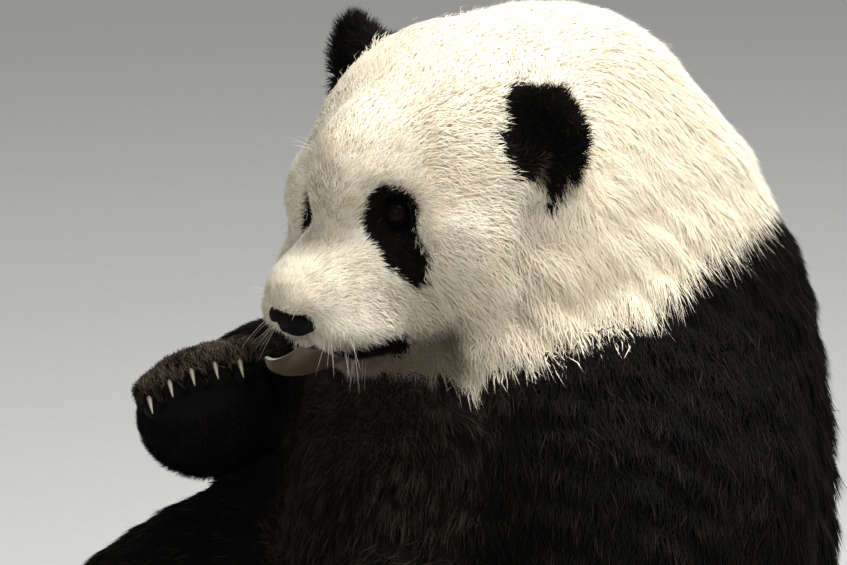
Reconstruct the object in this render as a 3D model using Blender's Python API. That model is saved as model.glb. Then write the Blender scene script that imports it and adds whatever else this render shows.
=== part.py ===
"""Giant panda, seated and hunched, with its right forepaw raised: one still, life-size body in its members.

Metres, +Z up.  The animal faces -Y, its left side is +X, and it sits on the plane z = 0.  Every solid
follows the outline of the coat, out to the tips of the hair.  The flesh is modelled whole, as lofted and
rounded forms that are fused and smoothed, and is then parted into its members by thin cuts.
"""
import math

import bmesh
import bpy
import numpy as np
from mathutils import Matrix, Vector
from mathutils.bvhtree import BVHTree

# ---------------------------------------------------------------- driving dimensions
GAP = 0.0003                 # clearance between neighbouring solids
SWELL = 0.0006               # how far a finished neighbour is swollen before its room is cut
VOXEL = 0.005                # grain of the fused flesh
BODY_BLEND = 60              # smoothing passes that round the creases between fused forms
HEAD_BLEND = 8               # fewer on the head, whose brow and muzzle stay distinct
PAW_BLEND = 4
BODY_TRIANGLES = 1010        # budgets of triangles before the parting cuts
HEAD_TRIANGLES = 940
PAW_TRIANGLES = 190
EAR_TRIANGLES = 130
AROUND = 32                  # points round a lofted section
TRUNK_STEPS = 44             # sections of the trunk's loft, and of a limb's
LIMB_STEPS = 30
ELLIPSOID_SEGMENTS = 28
SMALL_SEGMENTS = 10          # facets round an eye, the nose and the cup of an ear
SLOPE_STEP = 0.01            # share of a path over which its direction is read
MERGE = 1e-6                 # vertices nearer than this are one

# Head: its frame stands between the ears, turned to the animal's left and rolled to that side.
HEAD_ORIGIN = Vector((0.035, -0.113, 0.633))
HEAD_TURN = math.radians(25)
HEAD_ROLL = math.radians(8)

# Trunk stations from the seat to the hump of the nape: height, centre y, half width, half depth.
TRUNK = (
    (-0.012, 0.010, 0.145, 0.135),
    (0.030, 0.005, 0.187, 0.178),
    (0.100, -0.002, 0.214, 0.208),
    (0.200, -0.010, 0.225, 0.228),
    (0.300, -0.012, 0.219, 0.228),
    (0.385, -0.004, 0.206, 0.214),
    (0.460, 0.000, 0.168, 0.200),
    (0.520, -0.003, 0.138, 0.178),
    (0.580, -0.010, 0.114, 0.152),
    (0.630, -0.018, 0.094, 0.120),
    (0.675, -0.028, 0.071, 0.087),
    (0.697, -0.033, 0.038, 0.047),
)

# Limbs: joints as points, with the half width (across X) and half depth of the coat at each.
LEFT_ARM = (
    ((0.100, 0.010, 0.415), 0.080, 0.095),
    ((0.150, 0.008, 0.375), 0.088, 0.122),
    ((0.192, -0.002, 0.305), 0.088, 0.135),
    ((0.226, -0.022, 0.220), 0.073, 0.106),
    ((0.256, -0.085, 0.137), 0.061, 0.076),
    ((0.279, -0.150, 0.075), 0.053, 0.053),
    ((0.288, -0.195, 0.047), 0.044, 0.035),
)
RIGHT_ARM = (
    ((-0.100, 0.010, 0.420), 0.080, 0.095),
    ((-0.158, -0.015, 0.385), 0.088, 0.118),
    ((-0.204, -0.082, 0.346), 0.080, 0.092),
    ((-0.210, -0.150, 0.338), 0.070, 0.078),
    ((-0.172, -0.205, 0.350), 0.064, 0.070),
    ((-0.128, -0.245, 0.352), 0.052, 0.056),
)
LEFT_LEG = (
    ((0.085, 0.010, 0.130), 0.110, 0.110),
    ((0.120, -0.110, 0.150), 0.100, 0.105),
    ((0.145, -0.215, 0.185), 0.084, 0.090),
    ((0.156, -0.275, 0.180), 0.072, 0.078),
    ((0.165, -0.345, 0.125), 0.062, 0.068),
    ((0.172, -0.398, 0.066), 0.052, 0.056),
)
RIGHT_LEG = (
    ((-0.085, 0.010, 0.130), 0.110, 0.110),
    ((-0.125, -0.110, 0.155), 0.100, 0.105),
    ((-0.155, -0.215, 0.190), 0.086, 0.092),
    ((-0.172, -0.280, 0.182), 0.074, 0.080),
    ((-0.195, -0.350, 0.128), 0.064, 0.070),
    ((-0.208, -0.402, 0.067), 0.052, 0.056),
)

# Paws: centre of the palm, direction of the toes, outward normal of the palm, side of the first toe,
# palm half sizes (across, along, thick), reach of the toe tips, their curl towards the palm, and the
# angle in degrees by which the claws turn from the toes' direction towards the palm.
FOREPAW_DOWN = dict(size=(0.056, 0.062, 0.032), reach=0.050, curl=0.002, fold=-12)
FOREPAW_RAISED = dict(size=(0.062, 0.054, 0.034), reach=0.046, curl=0.026, fold=85)
FOOT = dict(size=(0.050, 0.080, 0.034), reach=0.070, curl=0.006, fold=35)
PAWS = {
    "forepaw_left": dict(centre=(0.292, -0.215, 0.029), toes=(0.12, -1.0, -0.08),
                         palm=(0.0, 0.0, -1.0), inner=-1, **FOREPAW_DOWN),
    "forepaw_right": dict(centre=(-0.102, -0.273, 0.357), toes=(-0.10, -0.28, 0.95),
                          palm=(0.94, -0.342, 0.0), inner=1, **FOREPAW_RAISED),
    "foot_left": dict(centre=(0.177, -0.418, 0.074), toes=(0.10, -0.28, 0.95),
                      palm=(0.0, -0.96, -0.28), inner=-1, **FOOT),
    "foot_right": dict(centre=(-0.215, -0.420, 0.074), toes=(-0.12, -0.28, 0.95),
                       palm=(0.0, -0.96, -0.28), inner=1, **FOOT),
}
TOE_RADIUS = 0.0155
TOE_PITCH = 0.0195
TOE_ARCH = 0.045             # share of the reach that a toe loses one place from the longest
LONGEST_TOE = 1.6
TOE_ROOT = 0.55              # where a toe springs from, as a share of the way to its tip
CLAW_LENGTH = 0.014
CLAW_ROOT = 0.0056
CLAW_TAPER = 0.78
CLAW_HOOK = math.radians(28)
CLAW_BEDDING = 0.6           # root of a claw inside its toe, as a share of the toe's radius
CLAW_FLATNESS = 0.65
CLAW_STEPS = 2
CLAW_AROUND = 5

# Face, in the frame of the head.
NECK_PLANE = -0.070
EYE_PLACE = (0.105, 0.048, -0.074)
EYE_SIGHT = (0.80, 0.60, -0.02)
EYE_RADIUS = 0.0115
EYE_DEPTH = 0.0125           # centre of the eye under the surface of the coat
EYE_OPENING = (0.72, 1.5)    # widths of the opening at the eye and well outside, in eye radii
OPENING_REACH = 0.04
NOSE_PLACE = (0.162, 0.0, -0.164)
NOSE_FACING = (0.82, 0.0, -0.57)
NOSE_HALF = (0.012, 0.025, 0.011)
JAW_CELL = ((0.010, -0.070, -0.300), (0.200, 0.070, -0.193))
# Tongue stations from inside the mouth to the tip: forward, up, half width, half thickness.
TONGUE = (
    (0.080, -0.196, 0.021, 0.0060),
    (0.108, -0.203, 0.022, 0.0060),
    (0.132, -0.207, 0.021, 0.0058),
    (0.154, -0.206, 0.018, 0.0050),
    (0.171, -0.200, 0.012, 0.0036),
    (0.181, -0.192, 0.004, 0.0020),
)
TONGUE_SAG = 0.010
TONGUE_STEPS = 8

# Cells that part the trunk, as lowest and highest corners, and the room of a cell round its limb.
CELL_ROOM = 0.012
CELL_STEPS = 3
CELL_AROUND = 12
ARM_JOINT = 3                # station of the elbow
LEG_JOINT = 2.4              # the knee, between its stations
SHOULDER = 0.06              # where the upper arm and the thigh start, as shares of the limb
HIP = 0.08
LIMB_END = 0.03
SMALL_OVERRUN = 0.001        # how far an inner member's cell runs into the cut of the next one
LARGE = 1.0                  # reach of the boxes that level the seat and trim the head
TAIL_CELL = ((-0.090, 0.205, -0.1), (0.090, 0.400, 0.135))
NECK_CELL = ((-0.400, -0.400, 0.490), (0.400, 0.400, 0.900))
ABDOMEN_CELL = ((-0.400, -0.400, -0.100), (0.400, 0.400, 0.270))

MATERIALS = {
    "white_coat": ((0.86, 0.82, 0.72), 0.9),
    "black_coat": ((0.022, 0.019, 0.016), 0.85),
    "eye": ((0.010, 0.007, 0.005), 0.05),
    "nose": ((0.020, 0.018, 0.017), 0.5),
    "tongue": ((0.42, 0.25, 0.21), 0.4),
    "claw": ((0.50, 0.44, 0.34), 0.4),
}


# ---------------------------------------------------------------- helpers
def head_matrix():
    """Frame of the head: x forward through the nose, y to the animal's left, z up through the crown."""
    forward = Vector((math.sin(HEAD_TURN), -math.cos(HEAD_TURN), 0.0))
    level_left = Vector((math.cos(HEAD_TURN), math.sin(HEAD_TURN), 0.0))
    left = level_left * math.cos(HEAD_ROLL) - Vector((0, 0, 1)) * math.sin(HEAD_ROLL)
    up = forward.cross(left)
    turned = Matrix((forward, left, up)).transposed().to_4x4()
    return Matrix.Translation(HEAD_ORIGIN) @ turned


HEAD = head_matrix()
WORLD = Matrix.Identity(4)


def frame_of(centre, along, normal):
    """Right-angled frame at a centre: y along one direction, z as near as possible to a normal."""
    y_axis = Vector(along).normalized()
    z_axis = Vector(normal)
    z_axis = (z_axis - y_axis * z_axis.dot(y_axis)).normalized()
    x_axis = y_axis.cross(z_axis)
    turned = Matrix((x_axis, y_axis, z_axis)).transposed().to_4x4()
    return Matrix.Translation(Vector(centre)) @ turned


def make_object(name, mesh, material=None):
    obj = bpy.data.objects.new(name, mesh)
    bpy.context.collection.objects.link(obj)
    if material:
        obj.data.materials.clear()
        obj.data.materials.append(MADE_MATERIALS[material])
    return obj


def make_materials():
    made = {}
    for name, (colour, roughness) in MATERIALS.items():
        material = bpy.data.materials.new(name)
        material.use_nodes = True
        shader = material.node_tree.nodes["Principled BSDF"]
        shader.inputs["Base Color"].default_value = (*colour, 1.0)
        shader.inputs["Roughness"].default_value = roughness
        shader.inputs["Metallic"].default_value = 0.0
        made[name] = material
    return made


def mesh_from(bm, name):
    bmesh.ops.recalc_face_normals(bm, faces=bm.faces)
    mesh = bpy.data.meshes.new(name)
    bm.to_mesh(mesh)
    bm.free()
    return mesh


def settle(obj):
    """Replace an object's mesh by the result of its modifiers."""
    depsgraph = bpy.context.evaluated_depsgraph_get()
    result = bpy.data.meshes.new_from_object(obj.evaluated_get(depsgraph))
    previous = obj.data
    obj.modifiers.clear()
    obj.data = result
    bpy.data.meshes.remove(previous)
    return obj


def combine(obj, other, operation):
    """Exact Boolean of one solid by another, applied at once."""
    step = obj.modifiers.new(operation.lower(), "BOOLEAN")
    step.operation = operation
    step.solver = "EXACT"
    step.object = other
    return settle(obj)


def duplicate(obj, name):
    return make_object(name, obj.data.copy())


def drop(obj):
    bpy.data.objects.remove(obj)


def keep_largest_piece(obj):
    """Delete crumbs that a cut has left beside the main body."""
    bm = bmesh.new()
    bm.from_mesh(obj.data)
    bmesh.ops.remove_doubles(bm, verts=bm.verts, dist=MERGE)
    bm.verts.ensure_lookup_table()
    unseen = set(bm.verts)
    pieces = []
    while unseen:
        group = {unseen.pop()}
        front = list(group)
        while front:
            for edge in front.pop().link_edges:
                for vert in edge.verts:
                    if vert in unseen:
                        unseen.discard(vert)
                        group.add(vert)
                        front.append(vert)
        pieces.append(group)
    pieces.sort(key=len)
    crumbs = [vert for group in pieces[:-1] for vert in group]
    bmesh.ops.delete(bm, geom=crumbs, context="VERTS")
    bm.to_mesh(obj.data)
    bm.free()


# ---------------------------------------------------------------- forms
def add_ellipsoid(bm, frame, centre, radii, segments=ELLIPSOID_SEGMENTS):
    """Ellipsoid at a centre of a frame, its half axes along that frame's axes."""
    place = frame @ Matrix.Translation(Vector(centre)) @ Matrix.Diagonal((*radii, 1.0))
    bmesh.ops.create_uvsphere(bm, u_segments=segments, v_segments=segments * 5 // 8,
                              radius=1.0, matrix=place)


def around(count):
    """Evenly spaced angles once round a section."""
    return [2 * math.pi * i / count for i in range(count)]


def add_rings(bm, rings):
    """Closed loft through rings of points, capped at both ends."""
    rows = [[bm.verts.new(point) for point in ring] for ring in rings]
    count = len(rows[0])
    for lower, upper in zip(rows, rows[1:]):
        for i in range(count):
            bm.faces.new((lower[i], lower[(i + 1) % count], upper[(i + 1) % count], upper[i]))
    bm.faces.new(list(reversed(rows[0])))
    bm.faces.new(rows[-1])


def spline(values, fraction):
    """Catmull-Rom curve through equally spaced values, read at a fraction from 0 to 1."""
    values = np.asarray(values, dtype=float)
    place = fraction * (len(values) - 1)
    i = min(int(place), len(values) - 2)
    t = place - i
    before = values[max(i - 1, 0)]
    after = values[min(i + 2, len(values) - 1)]
    start, end = values[i], values[i + 1]
    return 0.5 * (2 * start + (end - before) * t + (2 * before - 5 * start + 4 * end - after) * t ** 2
                  + (3 * start - before - 3 * end + after) * t ** 3)


def add_trunk(bm):
    """Level elliptical sections stacked from the seat to the nape."""
    rings = []
    for step in range(TRUNK_STEPS + 1):
        height, centre_y, half_width, half_depth = spline(TRUNK, step / TRUNK_STEPS)
        rings.append([(half_width * math.cos(a), centre_y + half_depth * math.sin(a), height)
                      for a in around(AROUND)])
    add_rings(bm, rings)


def limb_section(stations, fraction, room, count):
    """Section square to a limb's path, an ellipse whose first half axis stays as near to X as it can."""
    path = np.array([[*centre, half_width, half_depth] for centre, half_width, half_depth in stations])
    here = spline(path, fraction)
    ahead = Vector(spline(path, min(fraction + SLOPE_STEP, 1.0))[:3])
    behind = Vector(spline(path, max(fraction - SLOPE_STEP, 0.0))[:3])
    run = (ahead - behind).normalized()
    side = Vector((1, 0, 0))
    side = (side - run * side.dot(run)).normalized()
    across = run.cross(side)
    wide, deep = here[3] + room, here[4] + room
    return run, [Vector(here[:3]) + side * (wide * math.cos(a)) + across * (deep * math.sin(a))
                 for a in around(count)]


def add_limb(bm, stations):
    """Loft of a limb's sections from its first station to its last."""
    fractions = [step / LIMB_STEPS for step in range(LIMB_STEPS + 1)]
    add_rings(bm, [limb_section(stations, fraction, 0.0, AROUND)[1] for fraction in fractions])


def paw_frame(paw):
    return frame_of(paw["centre"], paw["toes"], paw["palm"])


def toe_offsets(paw):
    """Centre of each toe in the paw's frame, from the first toe to the fifth, on a shallow arch."""
    offsets = []
    for k in range(5):
        across = (2 - k) * TOE_PITCH * paw["inner"]
        along = paw["reach"] * (1.0 - TOE_ARCH * (k - LONGEST_TOE) ** 2)
        offsets.append(Vector((across, along, paw["curl"])))
    return offsets


def add_paw(bm, paw):
    """Rounded palm and five rounded toes."""
    frame = paw_frame(paw)
    add_ellipsoid(bm, frame, (0, 0, 0), paw["size"])
    for offset in toe_offsets(paw):
        middle = offset * (1 + TOE_ROOT) / 2
        add_ellipsoid(bm, frame, offset, (TOE_RADIUS, TOE_RADIUS * 1.25, TOE_RADIUS * 1.15))
        add_ellipsoid(bm, frame, middle, (TOE_RADIUS, TOE_RADIUS * 1.7, TOE_RADIUS))


def fuse(bm, name, triangles, blend_steps):
    """Fuse overlapping closed forms into one skin, round its creases and thin it to a triangle budget."""
    obj = make_object(name, mesh_from(bm, name))
    remesh = obj.modifiers.new("fuse", "REMESH")
    remesh.mode = "VOXEL"
    remesh.voxel_size = VOXEL
    smooth = obj.modifiers.new("round", "SMOOTH")
    smooth.factor = 0.5
    smooth.iterations = blend_steps
    settle(obj)
    faces = sum(len(face.vertices) - 2 for face in obj.data.polygons)
    thin = obj.modifiers.new("thin", "DECIMATE")
    thin.ratio = triangles / faces
    return settle(obj)


def make_body():
    """Trunk, nape, limbs and tail, fused and smoothed."""
    bm = bmesh.new()
    add_trunk(bm)
    for limb in (LEFT_ARM, RIGHT_ARM, LEFT_LEG, RIGHT_LEG):
        add_limb(bm, limb)
    add_ellipsoid(bm, WORLD, (0.022, -0.050, 0.510), (0.132, 0.118, 0.140))      # root of the neck
    add_ellipsoid(bm, WORLD, (0.000, 0.200, 0.072), (0.052, 0.054, 0.056))       # root of the tail
    add_ellipsoid(bm, WORLD, (0.000, 0.236, 0.046), (0.046, 0.056, 0.050))       # its tip, laid down
    return fuse(bm, "body", BODY_TRIANGLES, BODY_BLEND)


def make_head():
    """Skull, cheek ruffs, brows, muzzle, lips and chin, in the frame of the head."""
    bm = bmesh.new()
    add_ellipsoid(bm, HEAD, (-0.014, 0, -0.080), (0.132, 0.119, 0.138))          # dome of the skull
    add_ellipsoid(bm, HEAD, (0.048, 0, -0.056), (0.099, 0.052, 0.076))           # forehead and bridge
    add_ellipsoid(bm, HEAD, (0.064, 0, -0.130), (0.078, 0.062, 0.062))           # root of the muzzle
    add_ellipsoid(bm, HEAD, (0.112, 0, -0.143), (0.057, 0.049, 0.043))           # muzzle
    add_ellipsoid(bm, HEAD, (0.141, 0, -0.143), (0.040, 0.037, 0.033))           # tip round the nose
    add_ellipsoid(bm, HEAD, (0.064, 0, -0.200), (0.048, 0.044, 0.022))           # chin
    add_ellipsoid(bm, HEAD, (0.025, 0, -0.185), (0.065, 0.062, 0.040))           # jaw
    for side in (-1, 1):
        add_ellipsoid(bm, HEAD, (0.008, side * 0.071, -0.128), (0.070, 0.067, 0.074))    # cheek
        add_ellipsoid(bm, HEAD, (-0.011, side * 0.098, -0.172), (0.072, 0.056, 0.084))   # ruff
        add_ellipsoid(bm, HEAD, (0.037, side * 0.059, -0.095), (0.064, 0.059, 0.056))    # brow and cheekbone
        add_ellipsoid(bm, HEAD, (0.112, side * 0.028, -0.166), (0.046, 0.034, 0.028))    # lip
    return fuse(bm, "head", HEAD_TRIANGLES, HEAD_BLEND)


def make_ear(side):
    """Round ear: a shallow cup that faces forward and a little outward, rooted in the head."""
    facing = Vector((0.95, 0.31 * side, 0.05))
    frame = HEAD @ frame_of((0.007, 0.101 * side, -0.009), (0.0, 0.28 * side, 1.0), facing)
    bm = bmesh.new()
    add_ellipsoid(bm, frame, (0, 0, 0), (0.047, 0.051, 0.020))
    add_ellipsoid(bm, frame, (0, -0.030, -0.004), (0.038, 0.036, 0.024))
    ear = fuse(bm, "ear_left" if side > 0 else "ear_right", EAR_TRIANGLES, PAW_BLEND)
    hollow = bmesh.new()
    add_ellipsoid(hollow, frame, (0.0, 0.003, 0.024), (0.031, 0.034, 0.017), SMALL_SEGMENTS)
    cutter = make_object("hollow", mesh_from(hollow, "hollow"))
    combine(ear, cutter, "DIFFERENCE")
    drop(cutter)
    return ear


def make_paw(name, paw):
    bm = bmesh.new()
    add_paw(bm, paw)
    return fuse(bm, name, PAW_TRIANGLES, PAW_BLEND)


# ---------------------------------------------------------------- parting tools
def solid(bm, name):
    """A cutter: closed, unseen and left out of the finished body."""
    obj = make_object(name, mesh_from(bm, name))
    obj.hide_render = True
    obj.display_type = "WIRE"
    return obj


def box_cell(frame, lows, highs, grow=0.0):
    """Box between two corners of a frame, grown on every side."""
    low = Vector(lows) - Vector((grow, grow, grow))
    high = Vector(highs) + Vector((grow, grow, grow))
    bm = bmesh.new()
    place = frame @ Matrix.Translation((low + high) / 2) @ Matrix.Diagonal((*(high - low), 1.0))
    bmesh.ops.create_cube(bm, size=1.0, matrix=place)
    return solid(bm, "cell")


def limb_cell(stations, first, last, beyond, grow):
    """Convex envelope of a limb between two fractions of its length, grown on every side."""
    bm = bmesh.new()
    for step in range(CELL_STEPS + 1):
        fraction = first + (last - first) * step / CELL_STEPS
        run, ring = limb_section(stations, fraction, CELL_ROOM + grow, CELL_AROUND)
        slide = -grow if step == 0 else beyond + grow if step == CELL_STEPS else 0.0
        for point in ring:
            bm.verts.new(point + run * slide)
    hull = bmesh.ops.convex_hull(bm, input=bm.verts)
    inside = [item for item in hull["geom_interior"] if isinstance(item, bmesh.types.BMVert)]
    bmesh.ops.delete(bm, geom=inside, context="VERTS")
    return solid(bm, "cell")


def part_off(whole, name, make_cell, material):
    """Take the share of the whole that lies in a cell, and leave a gap round it."""
    member = duplicate(whole, name)
    inner = make_cell(0.0)
    outer = make_cell(GAP)
    combine(member, inner, "INTERSECT")
    combine(whole, outer, "DIFFERENCE")
    drop(inner)
    drop(outer)
    keep_largest_piece(member)
    member.data.materials.clear()
    member.data.materials.append(MADE_MATERIALS[material])
    return member


# ---------------------------------------------------------------- small pieces
def ball(name, centre, radius, material=None):
    bm = bmesh.new()
    add_ellipsoid(bm, Matrix.Translation(centre), (0, 0, 0), (radius, radius, radius), SMALL_SEGMENTS)
    return make_object(name, mesh_from(bm, name), material)


def surface_along(obj, origin, direction):
    """First point where a ray meets an object."""
    tree = BVHTree.FromObject(obj, bpy.context.evaluated_depsgraph_get())
    return tree.ray_cast(origin, direction)[0]


def eye_centre(side):
    """Centre of the eye, under the brow on the line of sight through its place, and that line."""
    sight = (HEAD.to_3x3() @ Vector((EYE_SIGHT[0], EYE_SIGHT[1] * side, EYE_SIGHT[2]))).normalized()
    through = HEAD @ Vector((EYE_PLACE[0], EYE_PLACE[1] * side, EYE_PLACE[2]))
    surface = surface_along(head, through + sight * OPENING_REACH, -sight)
    return surface - sight * EYE_DEPTH, sight


def carve_eye(side):
    """Eyeball, and its socket with an opening that flares out to the coat."""
    centre, sight = eye_centre(side)
    socket = ball("socket", centre, EYE_RADIUS + GAP)
    combine(head, socket, "DIFFERENCE")
    drop(socket)
    frame = frame_of(centre, HEAD.to_3x3() @ Vector((0, 0, 1)), sight)
    flare = bmesh.new()
    rings = []
    for share, depth in zip(EYE_OPENING, (0.0, OPENING_REACH)):
        radius = EYE_RADIUS * share
        rings.append([frame @ Vector((radius * math.cos(a), radius * math.sin(a), depth))
                      for a in around(SMALL_SEGMENTS)])
    add_rings(flare, rings)
    opening = solid(flare, "opening")
    combine(head, opening, "DIFFERENCE")
    drop(opening)
    return ball("eye_left" if side > 0 else "eye_right", centre, EYE_RADIUS, "eye")


def inset(host, name, make_form, material):
    """A piece of its own, set into its host with a gap between them."""
    room = make_form(GAP)
    combine(host, room, "DIFFERENCE")
    drop(room)
    piece = make_form(0.0)
    piece.name = name
    piece.hide_render = False
    piece.display_type = "SOLID"
    piece.data.materials.append(MADE_MATERIALS[material])
    return piece


def nose_form(grow):
    """Broad pad at the end of the muzzle, facing forward and down."""
    frame = HEAD @ frame_of(NOSE_PLACE, (0, 1, 0), NOSE_FACING)
    radii = [half + grow for half in NOSE_HALF]
    bm = bmesh.new()
    add_ellipsoid(bm, frame, (0, 0, 0), radii, SMALL_SEGMENTS)
    return solid(bm, "nose")


def tongue_form(grow):
    """Thin tongue laid over the lower lip, its tip curled up."""
    rings = []
    for step in range(TONGUE_STEPS + 1):
        x, z, half_width, half_thick = spline(TONGUE, step / TONGUE_STEPS)
        ahead = spline(TONGUE, min(step / TONGUE_STEPS + SLOPE_STEP, 1.0))
        behind = spline(TONGUE, max(step / TONGUE_STEPS - SLOPE_STEP, 0.0))
        slope = math.atan2(ahead[1] - behind[1], ahead[0] - behind[0])
        end = grow if step == TONGUE_STEPS else (-grow if step == 0 else 0.0)
        ring = []
        for a in around(SMALL_SEGMENTS):
            wide = (half_width + grow) * math.cos(a)
            thick = (half_thick + grow) * math.sin(a) + TONGUE_SAG * (wide / half_width) ** 2
            place = (x + end - thick * math.sin(slope), wide, z + thick * math.cos(slope))
            ring.append(HEAD @ Vector(place))
        rings.append(ring)
    bm = bmesh.new()
    add_rings(bm, rings)
    return solid(bm, "tongue")


def claw_form(paw, index, grow):
    """Curved cone from inside the tip of a toe."""
    frame = paw_frame(paw)
    offset = toe_offsets(paw)[index]
    fold = math.radians(paw["fold"])
    rings = []
    for step in range(CLAW_STEPS + 1):
        t = step / CLAW_STEPS
        angle = fold + CLAW_HOOK * t
        end = grow if step == CLAW_STEPS else (-grow if step == 0 else 0.0)
        reach = TOE_RADIUS * CLAW_BEDDING + (CLAW_LENGTH + TOE_RADIUS * CLAW_BEDDING) * t
        run = Vector((0, math.cos(angle), math.sin(angle)))
        rise = Vector((0, -math.sin(angle), math.cos(angle)))
        radius = CLAW_ROOT * (1.0 - CLAW_TAPER * t ** 1.6) + grow
        middle = offset + run * (reach + end)
        side = Vector((radius * CLAW_FLATNESS, 0, 0))
        rings.append([frame @ (middle + side * math.cos(a) + rise * (radius * math.sin(a)))
                      for a in around(CLAW_AROUND)])
    bm = bmesh.new()
    add_rings(bm, rings)
    return solid(bm, "claw")


# ---------------------------------------------------------------- members
def limb_members(side, arm, leg):
    """Members of one side, the outermost first: name, stations, first and last fraction, length beyond."""
    elbow = ARM_JOINT / (len(arm) - 1)
    knee = LEG_JOINT / (len(leg) - 1)
    return (
        ("forearm_" + side, arm, elbow, 1.0, LIMB_END),
        ("upper_arm_" + side, arm, SHOULDER, elbow, SMALL_OVERRUN),
        ("lower_leg_" + side, leg, knee, 1.0, LIMB_END),
        ("thigh_" + side, leg, HIP, knee, SMALL_OVERRUN),
    )


def level_seat(obj):
    """Cut a member level where it meets the floor."""
    below = box_cell(WORLD, (-LARGE, -LARGE, -LARGE), (LARGE, LARGE, 0))
    combine(obj, below, "DIFFERENCE")
    drop(below)


def clear_of(obj, others):
    """Make room in a solid for finished neighbours, each swollen along its normals."""
    for other in others:
        grown = duplicate(other, "grown")
        swell = grown.modifiers.new("swell", "DISPLACE")
        swell.strength = SWELL
        swell.mid_level = 0.0
        settle(grown)
        combine(obj, grown, "DIFFERENCE")
        drop(grown)


def stand_over_origin(members):
    """Slide the whole animal level, until the middle of its bounding box is over the origin."""
    points = np.array([vert.co for obj in members for vert in obj.data.vertices])
    middle = (points.min(axis=0) + points.max(axis=0)) / 2
    for obj in members:
        obj.data.transform(Matrix.Translation((-middle[0], -middle[1], 0.0)))


# ---------------------------------------------------------------- build
for leftover in list(bpy.data.objects):
    bpy.data.objects.remove(leftover)
MADE_MATERIALS = make_materials()

# Head, with its eyes, nose, tongue, lower jaw and ears.
head = make_head()
behind_head = box_cell(HEAD, (-LARGE, -LARGE, -LARGE), (NECK_PLANE, LARGE, LARGE))
combine(head, behind_head, "DIFFERENCE")
drop(behind_head)
envelope = duplicate(head, "envelope")
for eye_side in (-1, 1):
    carve_eye(eye_side)
inset(head, "nose", nose_form, "nose")
inset(head, "tongue", tongue_form, "tongue")
lower_jaw = part_off(head, "lower_jaw", lambda g: box_cell(HEAD, *JAW_CELL, g), "white_coat")
head.data.materials.append(MADE_MATERIALS["white_coat"])
ears = []
for ear_side in (-1, 1):
    ear = make_ear(ear_side)
    clear_of(ear, [envelope])
    keep_largest_piece(ear)
    ears.append(ear)

# Paws, with their claws.
paws = []
for paw_name, paw_sizes in PAWS.items():
    paw_solid = make_paw(paw_name, paw_sizes)
    paw_solid.data.materials.append(MADE_MATERIALS["black_coat"])
    level_seat(paw_solid)
    for toe in range(5):
        claw_name = "claw_%s_%d" % (paw_name.replace("forepaw", "fore").replace("foot", "hind"), toe + 1)
        inset(paw_solid, claw_name, lambda g, i=toe, sizes=paw_sizes: claw_form(sizes, i, g), "claw")
    paws.append(paw_solid)

# Body, cleared for the head and the paws and parted into limbs, tail, neck, abdomen and chest.
body = make_body()
level_seat(body)
clear_of(body, [envelope, *ears, *paws])
keep_largest_piece(body)
drop(envelope)
for side_name, side_arm, side_leg in (("left", LEFT_ARM, LEFT_LEG), ("right", RIGHT_ARM, RIGHT_LEG)):
    for member_name, *cell_shape in limb_members(side_name, side_arm, side_leg):
        part_off(body, member_name, lambda g, shape=cell_shape: limb_cell(*shape, g), "black_coat")
part_off(body, "tail", lambda g: box_cell(WORLD, *TAIL_CELL, g), "white_coat")
part_off(body, "neck", lambda g: box_cell(WORLD, *NECK_CELL, g), "white_coat")
part_off(body, "abdomen", lambda g: box_cell(WORLD, *ABDOMEN_CELL, g), "white_coat")
body.name = "chest"
body.data.materials.append(MADE_MATERIALS["black_coat"])
keep_largest_piece(body)
stand_over_origin(list(bpy.data.objects))
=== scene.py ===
# %% [markdown]
# # A young giant panda, seated
# The hard parts of the animal come from a frame that was packed beforehand: 44 plain solids that give the
# true outline of the coat.  This lesson dresses that frame.  One skin is drawn over the flesh, the coat is
# planted on it tuft by tuft, and the eyes, nose, tongue, claws and whiskers are pieces of their own.
# The first lines load the frame.

# %% Load the frame
import math
from contextlib import contextmanager

import bmesh
import bpy
import numpy as np
from mathutils import Matrix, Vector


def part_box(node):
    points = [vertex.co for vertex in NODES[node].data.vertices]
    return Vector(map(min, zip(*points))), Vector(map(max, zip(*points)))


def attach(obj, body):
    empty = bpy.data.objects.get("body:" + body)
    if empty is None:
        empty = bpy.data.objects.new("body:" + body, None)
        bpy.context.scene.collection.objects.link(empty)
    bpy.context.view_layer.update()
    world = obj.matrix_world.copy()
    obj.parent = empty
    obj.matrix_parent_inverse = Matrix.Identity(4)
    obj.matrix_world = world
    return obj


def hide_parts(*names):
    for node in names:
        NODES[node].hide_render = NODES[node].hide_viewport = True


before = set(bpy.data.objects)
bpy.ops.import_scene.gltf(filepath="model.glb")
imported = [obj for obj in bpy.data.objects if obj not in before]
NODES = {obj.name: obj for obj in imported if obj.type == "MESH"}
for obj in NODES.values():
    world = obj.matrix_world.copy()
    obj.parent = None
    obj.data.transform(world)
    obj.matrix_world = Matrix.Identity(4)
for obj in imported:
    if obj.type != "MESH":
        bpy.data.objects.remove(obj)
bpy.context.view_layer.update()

for leftover in ("Cube", "Light", "Camera"):
    if leftover in bpy.data.objects:
        bpy.data.objects.remove(bpy.data.objects[leftover])
print("frame loaded:", len(NODES), "nodes")

# %% [markdown]
# ## The animal's own axes
# Markings and hair are easiest to describe from the head, so the head has axes of its own: forward through
# the nose, left, and up through the crown.  Its origin is between the ears.  The same three numbers
# then name a place on the face whichever way the head is turned.  Body places are in metres in the
# world, before the whole animal was slid level to stand over the origin, and SLIDE puts them in place.

# %% Axes of the head, and the slide
SLIDE = np.array([-0.03285, 0.0945, 0.0])
HEAD_ORIGIN = np.array([0.035, -0.113, 0.633]) + SLIDE
HEAD_TURN, HEAD_ROLL = math.radians(25), math.radians(8)


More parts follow.
